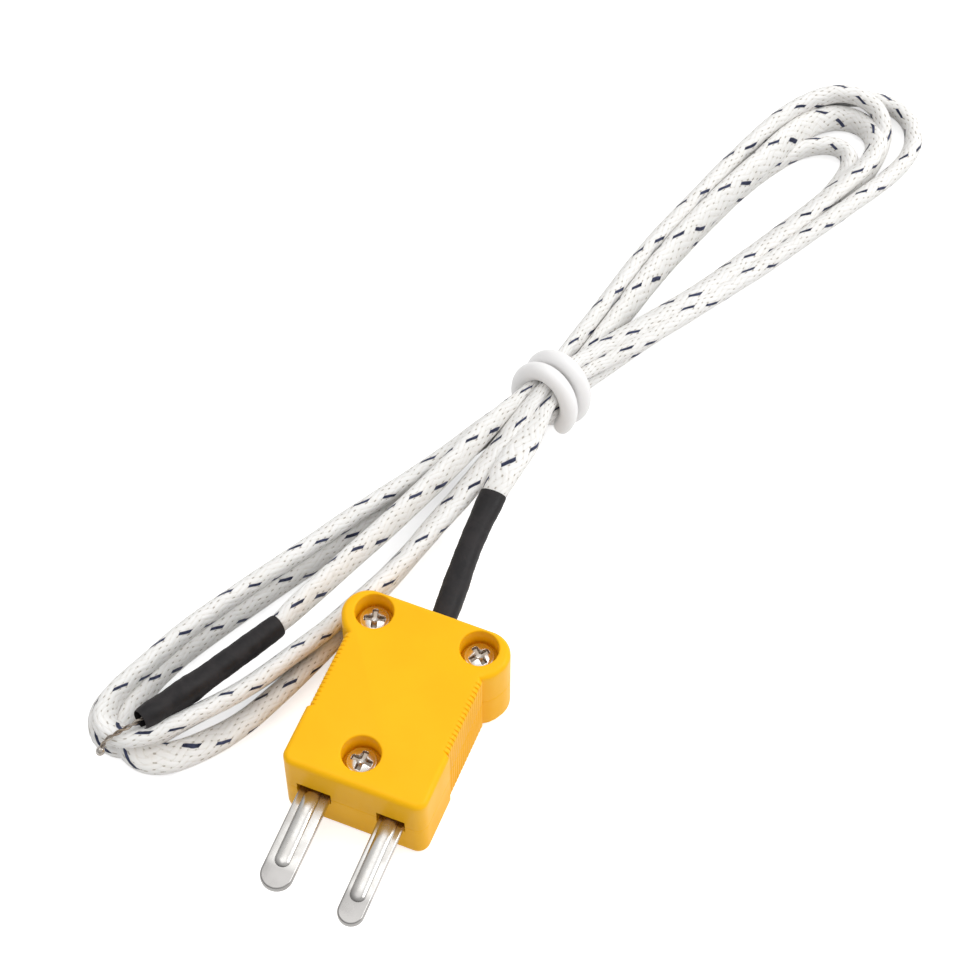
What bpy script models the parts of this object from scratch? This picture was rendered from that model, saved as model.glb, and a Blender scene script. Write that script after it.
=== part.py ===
"""Flat-pin thermocouple probe: a two-part plug case, its two pins and screws, a braided lead
coiled and tied in a hank, and a sleeved measuring tip. Metres, +Z up."""

import math

import bmesh
import bpy
import numpy as np
from mathutils import Vector

MM = 0.001

# Plug case
case_thickness = 9.4 * MM
front_half_width = 7.35 * MM
front_y = -4.7 * MM
rear_y = 15.8 * MM
front_corner = 1.2 * MM
edge_round = 0.6 * MM
grip_start_y = 1.9 * MM
grip_end_y = 10.3 * MM
grip_half_width = 7.15 * MM
rib_pitch = 0.494 * MM
rib_depth = 0.2 * MM
ear_x = 6.05 * MM
ear_radius = 2.6 * MM
ear_y = rear_y - ear_radius
parting_z = case_thickness / 2
parting_gap = 0.15 * MM
joint_gap = 0.3 * MM
small_gap = 0.2 * MM
overcut = 1.0 * MM  # how far a cutter runs past the face that it opens

# Room inside the case
room_half_width = 6.2 * MM
room_start_y = 1.65 * MM
room_end_y = 9.0 * MM
room_top_z = 7.85 * MM
tail_room_end_y = 7.0 * MM
wire_room_half_width = 5.2 * MM
wire_room_start_y = 6.6 * MM
wire_room_low_z = 2.6 * MM
terminal_well = 2.4 * MM
terminal_well_low_z = 1.8 * MM
leg_way_radius = 1.2 * MM
leg_way_start_y = 8.0 * MM

# Pins
pin_sheet = 0.8 * MM
pin_base_z = 4.15 * MM
wide_pin = {"x": -4.0 * MM, "width": 3.2 * MM, "reach": 10.5 * MM}
narrow_pin = {"x": 3.9 * MM, "width": 2.6 * MM, "reach": 11.1 * MM}
pin_lean = math.tan(math.radians(1.5))
ridge_width = 1.6 * MM
ridge_height = 0.35 * MM
ridge_short_of_tip = 2.3 * MM
ridge_end_length = 0.8 * MM
ridge_sunk = 0.15 * MM
tail_start_y = 2.0 * MM
tail_end_y = 6.3 * MM
tail_width = 3.9 * MM
slot_top_z = 5.6 * MM

# Terminals
terminal_y = 4.1 * MM
terminal_shank = 1.6 * MM
terminal_screw_end_z = 2.1 * MM
terminal_head = 3.4 * MM
terminal_head_height = 1.0 * MM
washer_outer = 4.0 * MM
washer_thickness = 0.35 * MM
core_diameter = 0.5 * MM
hook_radius = 1.25 * MM
leg_diameter = 0.62 * MM
leg_offset = 0.43 * MM

# Case screws
case_head = 3.0 * MM
case_head_height = 1.1 * MM
case_head_below_face = 1.2 * MM
case_shank = 1.6 * MM
case_screw_end_z = 1.3 * MM
counterbore = 3.8 * MM
recess_arm = 0.48 * MM
recess_depth = 0.62 * MM
rear_screw_x = ear_x - 0.55 * MM
rear_screw_y = rear_y - 2.35 * MM
case_screws = {
    "front": (-0.43 * MM, front_y + 3.46 * MM),
    "left": (-rear_screw_x, rear_screw_y),
    "right": (rear_screw_x, rear_screw_y),
}

# Plug sleeve and lead
sleeve_bore = 1.8 * MM
sleeve_neck = 2.4 * MM
sleeve_start_y = 12.2 * MM
lead_radius = 1.2 * MM

# Tie
tie_centre = Vector((-0.3, 47.2, 4.52)) * MM
tie_turn_angle = math.radians(15)
tie_lean_angle = math.radians(-9)
tie_half_width = 3.1 * MM
tie_half_height = 3.76 * MM
tie_wire = 1.9 * MM
tie_pitch = tie_wire + 0.5 * MM
tie_lowest_z = tie_wire / 2 + 0.05 * MM

# Measuring tip
tip_sleeve_bore = 1.5 * MM
tip_wire = 0.22 * MM
tip_wire_offset = 0.14 * MM
tip_wire_twist = 2.0 * MM
bead_diameter = 0.9 * MM

for old in list(bpy.data.objects):
    bpy.data.objects.remove(old, do_unlink=True)


def material(name, colour, roughness, metallic=0.0):
    made = bpy.data.materials.new(name)
    made.use_nodes = True
    shader = made.node_tree.nodes["Principled BSDF"]
    shader.inputs["Base Color"].default_value = (*colour, 1)
    shader.inputs["Roughness"].default_value = roughness
    shader.inputs["Metallic"].default_value = metallic
    made.diffuse_color = (*colour, 1)
    return made


case_yellow = material("case_yellow", (0.93, 0.50, 0.02), 0.4)
nickel = material("bright_nickel", (0.75, 0.74, 0.71), 0.25, 1.0)
alloy = material("thermocouple_alloy", (0.45, 0.43, 0.40), 0.35, 1.0)
braid = material("glass_braid", (0.80, 0.78, 0.73), 0.8)
leg_yellow = material("leg_yellow", (0.85, 0.60, 0.08), 0.6)
leg_red = material("leg_red", (0.60, 0.06, 0.04), 0.6)
sleeve_black = material("sleeve_black", (0.03, 0.028, 0.03), 0.55)
tie_grey = material("tie_grey", (0.80, 0.80, 0.81), 0.35)


def add_object(name, shape, surface):
    data = bpy.data.meshes.new(name)
    shape.to_mesh(data)
    shape.free()
    obj = bpy.data.objects.new(name, data)
    bpy.context.scene.collection.objects.link(obj)
    obj.data.materials.append(surface)
    return obj


def loft(name, rings, surface):
    """A closed solid through rings of equal point count, capped at both ends."""
    shape = bmesh.new()
    rows = [[shape.verts.new(point) for point in ring] for ring in rings]
    count = len(rows[0])
    for low, high in zip(rows, rows[1:]):
        for k in range(count):
            after = (k + 1) % count
            shape.faces.new((low[k], low[after], high[after], high[k]))
    shape.faces.new(list(reversed(rows[0])))
    shape.faces.new(rows[-1])
    bmesh.ops.recalc_face_normals(shape, faces=shape.faces)
    return add_object(name, shape, surface)


def circle(centre, radius, count=32, z=0.0):
    turns = np.linspace(0, 2 * math.pi, count, endpoint=False)
    return [(centre[0] + radius * math.cos(t), centre[1] + radius * math.sin(t), z) for t in turns]


def cylinder(name, centre, diameter, low, high, surface=None, count=32):
    rings = [circle(centre, diameter / 2, count, z) for z in (low, high)]
    return loft(name, rings, surface or case_yellow)


def block(name, x, y, z, surface=None):
    ring = [(x[0], y[0]), (x[1], y[0]), (x[1], y[1]), (x[0], y[1])]
    return loft(name, [[(*p, height) for p in ring] for height in z], surface or case_yellow)


def tunnel(name, centre_x, radius, y, z, count=24):
    """A round cutter along Y."""
    turns = np.linspace(0, 2 * math.pi, count, endpoint=False)
    rings = []
    for at in y:
        rings.append([(centre_x + radius * math.cos(t), at, z + radius * math.sin(t)) for t in turns])
    return loft(name, rings, case_yellow)


def apply_all(obj):
    graph = bpy.context.evaluated_depsgraph_get()
    made = bpy.data.meshes.new_from_object(obj.evaluated_get(graph))
    obj.modifiers.clear()
    obj.data = made
    return obj


def combine(obj, others, operation):
    """Applies each Boolean in turn and removes the helper."""
    for other in others:
        step = obj.modifiers.new(operation.lower(), "BOOLEAN")
        step.operation = operation
        step.solver = "EXACT"
        step.object = other
        apply_all(obj)
        bpy.data.objects.remove(other, do_unlink=True)
    return obj


def smooth(obj, degrees=40):
    obj.data.shade_smooth()
    obj.data.set_sharp_from_angle(angle=math.radians(degrees))
    return obj


def half_outline():
    """The right half of the case seen from above, as points with outward directions."""
    points = []

    def add(x, y, nx, ny):
        length = math.hypot(nx, ny)
        points.append((x, y, nx / length, ny / length))

    corner_x, corner_y = front_half_width - front_corner, front_y + front_corner
    add(2.4 * MM, front_y, 0, -1)
    for angle in np.linspace(-90, 0, 6):
        c, s = math.cos(math.radians(angle)), math.sin(math.radians(angle))
        add(corner_x + front_corner * c, corner_y + front_corner * s, c, s)
    add(front_half_width, grip_start_y - 0.3 * MM, 1, 0)
    ribs = int((grip_end_y - grip_start_y) / rib_pitch)
    for k in range(ribs):
        y = grip_start_y + k * rib_pitch
        for share, x in ((0.0, -1), (0.3, 0), (0.7, 0)):
            add(grip_half_width + x * rib_depth, y + share * rib_pitch, 1, 0)
    add(grip_half_width - rib_depth, grip_end_y + 0.1 * MM, 1, -0.3)
    add(7.62 * MM, 10.88 * MM, 1, -0.8)
    add(8.05 * MM, 11.4 * MM, 1, -0.8)
    for angle in np.linspace(-28, 90, 12):
        c, s = math.cos(math.radians(angle)), math.sin(math.radians(angle))
        add(ear_x + ear_radius * c, ear_y + ear_radius * s, c, s)
    add(2.4 * MM, rear_y, 0, 1)
    return points


def case_outline():
    right = half_outline()
    left = [(-x, y, -nx, ny) for x, y, nx, ny in reversed(right)]
    return right + left


outline = case_outline()


def case_half(name, low, high, rounded_low):
    """One half of the case between two heights, with its outer edge rounded."""
    steps = np.linspace(0, math.pi / 2, 5)
    fillet = [(edge_round * (1 - math.sin(t)), edge_round * (1 - math.cos(t))) for t in steps]
    if rounded_low:
        levels = [(inset, low + rise) for inset, rise in fillet] + [(0, high)]
    else:
        levels = [(0, low)] + [(inset, high - rise) for inset, rise in reversed(fillet)]
    rings = [[(x - nx * inset, y - ny * inset, z) for x, y, nx, ny in outline] for inset, z in levels]
    return loft(name, rings, case_yellow)


pins = {"wide": wide_pin, "narrow": narrow_pin}


def inner_cutters(upper):
    """The room inside the case for the pins, terminals and legs."""
    made = []
    past_parting = parting_z + (-overcut if upper else overcut)
    low = pin_base_z - joint_gap
    for side, pin in pins.items():
        half_slot = pin["width"] / 2 + joint_gap / 2
        slot_x = (pin["x"] - half_slot, pin["x"] + half_slot)
        made.append(block("slot_" + side, slot_x, (front_y - overcut, tail_start_y), (low, slot_top_z)))
        if not upper:
            at = (pin["x"], terminal_y)
            made.append(cylinder("well_" + side, at, terminal_well, terminal_well_low_z, parting_z))
    room_x = (-room_half_width, room_half_width)
    if upper:
        made.append(block("room", room_x, (room_start_y, room_end_y), (past_parting, room_top_z)))
    else:
        made.append(block("room", room_x, (room_start_y, tail_room_end_y), (low, past_parting)))
        wire_x = (-wire_room_half_width, wire_room_half_width)
        wire_y = (wire_room_start_y, room_end_y)
        made.append(block("wire_room", wire_x, wire_y, (wire_room_low_z, past_parting)))
    leg_way_y = (leg_way_start_y, sleeve_start_y)
    made.append(tunnel("leg_way", 0, leg_way_radius, leg_way_y, parting_z))
    exit_y = (sleeve_start_y - joint_gap, rear_y + overcut)
    made.append(tunnel("exit", 0, sleeve_neck / 2 + small_gap, exit_y, parting_z, 32))
    hole = case_shank + 2 * small_gap
    seat = case_thickness - case_head_below_face - case_head_height - small_gap
    for side, at in case_screws.items():
        if upper:
            made.append(cylinder("hole_" + side, at, hole, past_parting, seat + overcut))
            made.append(cylinder("bore_" + side, at, counterbore, seat, case_thickness + overcut, count=40))
        else:
            made.append(cylinder("hole_" + side, at, hole, case_screw_end_z - joint_gap, past_parting))
    return made


lower_shell = case_half("lower_shell", 0.0, parting_z - parting_gap / 2, True)
combine(lower_shell, inner_cutters(False), "DIFFERENCE")
smooth(lower_shell, 35)
upper_shell = case_half("upper_shell", parting_z + parting_gap / 2, case_thickness, False)
combine(upper_shell, inner_cutters(True), "DIFFERENCE")
smooth(upper_shell, 35)


def make_pin(name, pin):
    half = pin["width"] / 2
    tip_y = front_y - pin["reach"]
    outer = []
    for angle in np.linspace(180, 360, 17):
        c, s = math.cos(math.radians(angle)), math.sin(math.radians(angle))
        outer.append((half * c, tip_y + half + half * s, c, s))
    outer.append((half, tail_start_y - 0.05 * MM, 1, 0))
    tail = tail_width / 2
    low_tail = tail_start_y + joint_gap
    outer.append((half, low_tail, 0.7, -0.7))
    outer.append((tail, low_tail, 0.7, -0.7))
    outer.append((tail, tail_end_y, 0.7, 0.7))
    outer += [(-x, y, -nx, ny) for x, y, nx, ny in reversed(outer[17:])]
    rings = []
    soft = 0.1 * MM
    for inset, z in ((soft, 0), (0, soft), (0, pin_sheet - soft), (soft, pin_sheet)):
        ring = []
        for x, y, nx, ny in outer:
            lean = (front_y - y) * pin_lean if y < front_y else 0.0
            ring.append((pin["x"] + x - nx * inset + lean, y - ny * inset, pin_base_z + z))
        rings.append(ring)
    blade = loft(name, rings, nickel)

    top = pin_base_z + pin_sheet
    start, end = tail_start_y - 1.0 * MM, tip_y + ridge_short_of_tip
    rows = []
    along = [start, front_y, end + ridge_end_length + 0.1 * MM]
    along += [end + ridge_end_length * (1 - math.sin(t)) for t in np.linspace(0.3, 1.5, 6)]
    for y in along:
        into = min(1.0, (y - end) / ridge_end_length)
        size = math.sqrt(max(0.01, 1 - (1 - into) ** 2))
        middle = pin["x"] + ((front_y - y) * pin_lean if y < front_y else 0.0)
        across, rise = ridge_width / 2 * size, ridge_height * size
        row = [(middle + across, y, top - ridge_sunk)]
        for t in np.linspace(0, math.pi, 11):
            row.append((middle + across * math.cos(t), y, top + rise * math.sin(t)))
        row.append((middle - across, y, top - ridge_sunk))
        rows.append(row)
    ridge = loft("ridge", rows, nickel)
    combine(blade, [ridge], "UNION")
    hole = terminal_shank + 2 * small_gap
    drill = cylinder("drill", (pin["x"], terminal_y), hole, pin_base_z - overcut, top + overcut)
    combine(blade, [drill], "DIFFERENCE")
    return smooth(blade)


def make_screw(name, at, head, head_low, head_height, shank, end_z, surface=nickel):
    """A pan-head screw with a cross recess, standing on its point."""
    reach = head / 2
    profile = [(shank / 2 * 0.4, end_z), (shank / 2, end_z + 0.5 * MM), (shank / 2, head_low)]
    profile += [(reach - 0.08 * MM, head_low), (reach, head_low + 0.1 * MM)]
    base = head_low + head_height * 0.35
    for t in np.linspace(0, 1.25, 6):
        rise = head_height * 0.65 * math.sin(t) / math.sin(1.25)
        profile.append((reach * math.cos(t * 0.98), base + rise))
    rings = [circle(at, radius, 28, z) for radius, z in profile]
    body = loft(name, rings, surface)
    top = head_low + head_height
    long_side, short_side = reach * 0.62, recess_arm / 2
    corners = ((-1, -1), (1, -1), (1, 1), (-1, 1))
    cross = []
    for k, (dx, dy) in enumerate(((long_side, short_side), (short_side, long_side))):
        floor_z = top - recess_depth - k * 0.02 * MM
        low = [(at[0] + sx * dx * 0.55, at[1] + sy * dy * 0.55, floor_z) for sx, sy in corners]
        high = [(at[0] + sx * dx * 1.1, at[1] + sy * dy * 1.1, top + 0.3 * MM) for sx, sy in corners]
        cross.append(loft("recess", [low, high], surface))
    combine(body, cross, "DIFFERENCE")
    return smooth(body)


for side, pin in pins.items():
    make_pin("pin_" + side, pin)
    at = (pin["x"], terminal_y)
    wire_z = pin_base_z + pin_sheet + small_gap + core_diameter / 2
    washer_low = wire_z + core_diameter / 2 + small_gap
    washer_high = washer_low + washer_thickness
    washer = cylinder("terminal_washer_" + side, at, washer_outer, washer_low, washer_high, nickel)
    hole = terminal_shank + 2 * small_gap
    bore = cylinder("bore", at, hole, washer_low - overcut, washer_high + overcut)
    smooth(combine(washer, [bore], "DIFFERENCE"))
    head_low, height = washer_high + small_gap, terminal_head_height
    shank, end_z = terminal_shank, terminal_screw_end_z
    make_screw("terminal_screw_" + side, at, terminal_head, head_low, height, shank, end_z)

for side, at in case_screws.items():
    head_low = case_thickness - case_head_below_face - case_head_height
    make_screw("case_screw_" + side, at, case_head, head_low, case_head_height, case_shank, case_screw_end_z)


def through(points, between):
    """Points on a smooth curve through the given ones, in their own units."""
    controls = [np.array(p, float) for p in points]
    controls = [2 * controls[0] - controls[1]] + controls + [2 * controls[-1] - controls[-2]]
    made = []
    for a, b, c, d in zip(controls, controls[1:], controls[2:], controls[3:]):
        slope, bend, twist = c - a, 2 * a - 5 * b + 4 * c - d, 3 * b - a - 3 * c + d
        for t in np.linspace(0, 1, between, endpoint=False):
            made.append(b + 0.5 * (slope * t + bend * t**2 + twist * t**3))
    made.append(controls[-2])
    return np.array(made)


def smooth_route(points, step):
    """Evenly spaced points, in metres, on a curve through the given ones in millimetres."""
    fine = through(points, 24) * MM
    travelled = np.concatenate([[0], np.cumsum(np.linalg.norm(np.diff(fine, axis=0), axis=1))])
    count = max(2, int(round(travelled[-1] / step)) + 1)
    wanted = np.linspace(0, travelled[-1], count)
    return np.stack([np.interp(wanted, travelled, fine[:, k]) for k in range(3)], axis=1)


def tube(name, route, radius, surface, resolution=2):
    data = bpy.data.curves.new(name, "CURVE")
    data.dimensions = "3D"
    data.bevel_depth = radius
    data.bevel_resolution = resolution
    data.use_fill_caps = True
    spline = data.splines.new("POLY")
    spline.points.add(len(route) - 1)
    for point, place in zip(spline.points, route):
        point.co = (*place, 1)
    obj = bpy.data.objects.new(name, data)
    bpy.context.scene.collection.objects.link(obj)
    data.materials.append(surface)
    return obj


def sweep_rings(route, halves, count=22):
    """Upright oval rings across a route; halves gives (across, up) at each point."""
    rings = []
    ahead = np.gradient(np.array(route), axis=0)
    for place, way, (across, up) in zip(route, ahead, halves):
        way = way / np.linalg.norm(way)
        side = np.cross(way, (0, 0, 1))
        side = side / np.linalg.norm(side)
        rise = np.cross(side, way)
        turns = np.linspace(0, 2 * math.pi, count, endpoint=False)
        ring = [place + side * across * math.cos(t) + rise * up * math.sin(t) for t in turns]
        rings.append([tuple(point) for point in ring])
    return rings


# Plug sleeve, bent where it leaves the case
sleeve_points = [
    (0, 12.2, 4.7), (0, 15.8, 4.7), (-0.13, 19.0, 4.75),
    (-0.72, 24.4, 4.9), (-0.87, 27.8, 5.2), (-0.75, 32.4, 6.0),
]
sleeve_route = smooth_route(sleeve_points, 1.3 * MM)
# Distance along the sleeve, then its half width and half height there
sleeve_sizes = [
    (0, 1.2, 1.2), (3.6, 1.15, 1.15), (5.2, 1.3, 1.3), (8.5, 1.35, 1.3),
    (11.5, 1.2, 1.2), (16.0, 1.25, 1.2), (20.4, 1.4, 1.2),
]


def size_along(sizes, count, length):
    at, across, up = np.array(sizes, float).T * MM
    place = np.linspace(0, length, count)
    return list(zip(np.interp(place, at, across), np.interp(place, at, up)))


def route_length(route):
    return float(np.linalg.norm(np.diff(route, axis=0), axis=1).sum())


def extended(route, by):
    first = route[0] + (route[0] - route[1]) / np.linalg.norm(route[0] - route[1]) * by
    last = route[-1] + (route[-1] - route[-2]) / np.linalg.norm(route[-1] - route[-2]) * by
    return np.vstack([[first], route, [last]])


def hollow_sleeve(name, route, sizes, bore):
    halves = size_along(sizes, len(route), route_length(route))
    body = loft(name, sweep_rings(route, halves), sleeve_black)
    inside = extended(route, 0.5 * MM)
    core = loft("core", sweep_rings(inside, [(bore / 2, bore / 2)] * len(inside), 16), sleeve_black)
    combine(body, [core], "DIFFERENCE")
    return smooth(body)


hollow_sleeve("plug_sleeve", sleeve_route, sleeve_sizes, sleeve_bore)


def leg_route(side):
    """One insulated leg from its terminal to the outer end of the plug sleeve."""
    sign = -1 if side == "wide" else 1
    start = [
        (sign * 2.6, 7.4, 5.3), (sign * 1.5, 7.7, 5.0), (sign * 0.72, 8.6, 4.75),
        (sign * 0.46, 9.8, 4.7), (sign * leg_offset / MM, 11.0, 4.7),
    ]
    rest = [(x + sign * leg_offset / MM, y, z) for x, y, z in sleeve_points]
    return smooth_route(start + rest, 1.4 * MM)


def hook_route(side, pin):
    """The bare end: a hook round the terminal screw, led back to its leg."""
    sign = -1 if side == "wide" else 1
    x0, y0 = pin["x"] / MM, terminal_y / MM
    z = (pin_base_z + pin_sheet + small_gap + core_diameter / 2) / MM
    radius = hook_radius / MM
    turned = []
    for angle in np.linspace(-150, 60, 10):
        c, s = math.cos(math.radians(angle)), math.sin(math.radians(angle))
        turned.append((x0 + sign * radius * c, y0 + radius * s, z))
    end = (sign * 2.75, 7.35, 5.38)
    return smooth_route(turned + [end], 0.45 * MM)


for side, colour in (("wide", leg_yellow), ("narrow", leg_red)):
    tube("insulated_leg_" + side, leg_route(side), leg_diameter / 2, colour)
    tube("bare_end_" + side, hook_route(side, pins[side]), core_diameter / 2, alloy)

# Lead outside the hank, from the plug sleeve to the tie and from the tie to the tip sleeve
plug_lead_points = [
    (-0.75, 32.8, 6.05), (-0.5, 35.4, 6.3), (-0.1, 38.7, 6.4), (0.15, 41.0, 6.3), (0.0, 43.7, 6.1),
]
tip_lead_points = [
    (-2.75, 44.2, 6.1), (-4.0, 41.6, 6.2), (-5.0, 39.0, 6.2), (-6.6, 34.8, 6.0), (-8.8, 27.2, 5.6),
    (-10.9, 21.8, 5.3), (-12.8, 16.4, 5.1), (-14.55, 11.1, 5.05),
]
tube("plug_lead", smooth_route(plug_lead_points, 2.5 * MM), lead_radius, braid)
tube("tip_lead", smooth_route(tip_lead_points, 3.0 * MM), lead_radius, braid)

# The hank: edge pairs seen from above (outer x, y, inner x, y, lower z, upper z), in millimetres
level_way = Vector((math.sin(tie_turn_angle), math.cos(tie_turn_angle), 0))
toward = level_way * math.cos(tie_lean_angle) + Vector((0, 0, math.sin(tie_lean_angle)))
across = Vector((math.cos(tie_turn_angle), -math.sin(tie_turn_angle), 0))
upward = across.cross(toward)


def waist_pair(along, half, low, high):
    """An edge pair inside the tie; a negative half swaps the two edges."""
    middle = tie_centre / MM + toward * along
    outer, inner = middle - across * half, middle + across * half
    return (outer.x, outer.y, inner.x, inner.y, low, high)


far_left = [
    waist_pair(0.5, 1.2, 3.2, 5.8), waist_pair(2.7, 1.5, 2.8, 5.8),
    (-2.2, 54.9, 1.6, 53.4, 0.9, 6.2), (-0.8, 61.6, 3.9, 60.1, 0.2, 5.9),
    (0.9, 70.6, 5.6, 69.1, 0.1, 5.8), (3.7, 79.0, 8.0, 77.2, 0.1, 5.8),
    (6.3, 88.2, 11.0, 85.9, 0.1, 5.8), (8.8, 95.0, 13.1, 89.0, 0.1, 5.8),
    (11.9, 100.0, 15.1, 90.7, 0.1, 5.6), (16.1, 102.0, 16.9, 91.3, 0.1, 5.4),
]
far_right = [
    (11.9, 99.5, 15.1, 91.2, 0.4, 5.2), (16.1, 102.0, 16.9, 91.3, 0.1, 5.4),
    (21.6, 101.4, 18.4, 91.0, 0.1, 5.0), (25.0, 97.7, 18.5, 90.0, 0.1, 4.4),
    (25.3, 93.2, 18.0, 88.1, 0.1, 4.8), (23.4, 87.4, 17.0, 84.9, 0.1, 5.6),
    (20.3, 81.3, 15.5, 81.4, 0.1, 5.8), (16.0, 73.2, 11.8, 73.8, 0.1, 5.8),
    (10.4, 63.8, 7.9, 66.5, 0.2, 5.9), (6.0, 56.2, 3.4, 60.0, 0.6, 6.1),
    (3.5, 51.7, 0.9, 54.2, 1.6, 6.4),
    waist_pair(2.7, -1.4, 2.9, 5.7), waist_pair(0.5, -1.1, 3.3, 5.7),
]
near_left = [
    waist_pair(-0.5, 1.2, 3.2, 4.6), waist_pair(-2.8, 1.5, 2.8, 4.5),
    (-7.0, 41.0, -3.6, 40.2, 0.6, 4.5), (-10.6, 33.8, -8.2, 32.3, 0.1, 4.6),
    (-15.0, 25.8, -11.9, 24.0, 0.1, 5.0), (-19.5, 18.0, -16.3, 15.9, 0.1, 5.4),
    (-23.3, 10.4, -20.5, 7.6, 0.1, 5.4), (-26.0, 4.7, -23.1, 2.6, 0.1, 4.6),
    (-27.9, 0.6, -24.2, -1.2, 0.1, 3.4), (-28.0, -4.2, -23.9, -3.4, 0.1, 3.0),
    (-25.2, -7.1, -22.6, -3.6, 0.1, 3.0),
]
near_right = [
    (-27.8, -4.0, -24.1, -3.5, 0.3, 2.8), (-25.2, -7.1, -22.6, -3.6, 0.1, 3.0),
    (-21.4, -8.2, -20.2, -1.6, 0.1, 3.6), (-17.5, -6.3, -18.3, 1.4, 0.1, 5.0),
    (-13.9, -0.8, -15.6, 4.8, 0.1, 5.6), (-11.4, 5.3, -13.4, 9.9, 0.1, 5.8),
    (-10.1, 12.0, -12.0, 13.2, 0.1, 5.8), (-8.6, 17.6, -10.6, 18.2, 0.1, 5.8),
    (-6.4, 23.2, -8.7, 23.2, 0.1, 5.8), (-3.9, 30.4, -6.2, 30.6, 0.1, 5.0),
    (-2.2, 36.4, -4.6, 37.4, 0.4, 4.5),
    waist_pair(-2.8, -1.4, 2.9, 4.4), waist_pair(-0.5, -1.1, 3.3, 4.5),
]
branches = {
    "far_left": far_left,
    "far_right": far_right,
    "near_left": near_left,
    "near_right": near_right,
}


def hank_branch(name, pairs):
    stations = through(pairs, 3)
    turns = np.linspace(0, 2 * math.pi, 18, endpoint=False)
    rings = []
    for ox, oy, ix, iy, low, high in stations:
        middle = np.array([(ox + ix) / 2, (oy + iy) / 2, (low + high) / 2])
        half = np.array([(ox - ix) / 2, (oy - iy) / 2, 0])
        ring = []
        for t in turns:
            c, s = math.cos(t), math.sin(t)
            c, s = math.copysign(abs(c) ** 0.7, c), math.copysign(abs(s) ** 0.7, s)
            point = middle + half * c + np.array([0, 0, (high - low) / 2 * s])
            ring.append(tuple(point * MM))
        rings.append(ring)
    return loft(name, rings, braid)


def round_about_tie(along, inset, angle):
    """A point at this angle about the tie's axis, this far inside its oval."""
    beside = across * (tie_half_width - inset) * math.cos(angle)
    above = upward * (tie_half_height - inset) * math.sin(angle)
    point = tie_centre + toward * along + beside + above
    point.z = max(point.z, tie_lowest_z + inset)
    return tuple(point)


waist_turns = np.linspace(0, 2 * math.pi, 32, endpoint=False)
waist_inset = tie_wire / 2 + joint_gap
waist_half_length = 3.0 * MM
waist_rings = []
for along in (-waist_half_length, waist_half_length):
    waist_rings.append([round_about_tie(along, waist_inset, t) for t in waist_turns])
cable_hank = loft("cable_hank", waist_rings, braid)
combine(cable_hank, [hank_branch(name, pairs) for name, pairs in branches.items()], "UNION")
smooth(cable_hank, 50)

# Tie: two turns of round wire about the waist, crossing over and ending underneath
tie_end_angle = math.radians(54)
tie_route = []
for t in np.linspace(tie_end_angle, 4 * math.pi - tie_end_angle, 57):
    crossed = min(1.0, max(0.0, 0.5 + (t - 2 * math.pi) / (0.5 * math.pi)))
    along = tie_pitch * (crossed * crossed * (3 - 2 * crossed) - 0.5)
    tie_route.append(round_about_tie(along, 0.0, t - math.pi / 2))
tube("tie", tie_route, tie_wire / 2, tie_grey, 3)

# Measuring tip
tip_sleeve_points = [
    (-14.75, 10.7, 5.05), (-17.3, 5.4, 5.2), (-19.7, 0.3, 5.5), (-20.95, -1.9, 5.8), (-22.25, -4.45, 6.2),
]
tip_sleeve_sizes = [
    (0, 1.4, 1.3), (9.5, 1.4, 1.3), (11.0, 1.7, 1.4), (12.2, 1.6, 1.35),
    (13.5, 1.36, 1.25), (15.8, 1.27, 1.2), (17.0, 1.1, 1.05),
]
hollow_sleeve("tip_sleeve", smooth_route(tip_sleeve_points, 1.2 * MM), tip_sleeve_sizes, tip_sleeve_bore)
tip_points = [
    (-19.7, 0.3, 5.5), (-20.95, -1.9, 5.8), (-22.25, -4.45, 6.2), (-22.95, -5.6, 6.2),
    (-23.5, -6.2, 6.1), (-24.0, -6.95, 6.0), (-24.45, -7.4, 5.8), (-24.65, -7.75, 5.35),
]
tip_step = 0.25 * MM
tip_route = smooth_route(tip_points, tip_step)
bead_place = Vector((-24.8, -8.25, 4.65)) * MM
tip_ahead = np.gradient(tip_route, axis=0)
for k, (name, surface) in enumerate((("tip_wire_first", nickel), ("tip_wire_second", alloy))):
    strand = []
    for n, (place, way) in enumerate(zip(tip_route, tip_ahead)):
        way = way / np.linalg.norm(way)
        side = np.cross(way, (0, 0, 1))
        side = side / np.linalg.norm(side)
        rise = np.cross(side, way)
        angle = 2 * math.pi * n * tip_step / tip_wire_twist + k * math.pi
        strand.append(place + tip_wire_offset * (side * math.cos(angle) + rise * math.sin(angle)))
    tube(name, strand, tip_wire / 2, surface, 1)

ball = bmesh.new()
bmesh.ops.create_icosphere(ball, subdivisions=3, radius=bead_diameter / 2)
bead = add_object("weld_bead", ball, alloy)
for vertex in bead.data.vertices:
    vertex.co += bead_place
bead.data.shade_smooth()
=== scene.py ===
import math

import bmesh
import bpy
import numpy as np
from mathutils import Matrix, Vector, noise


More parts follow.
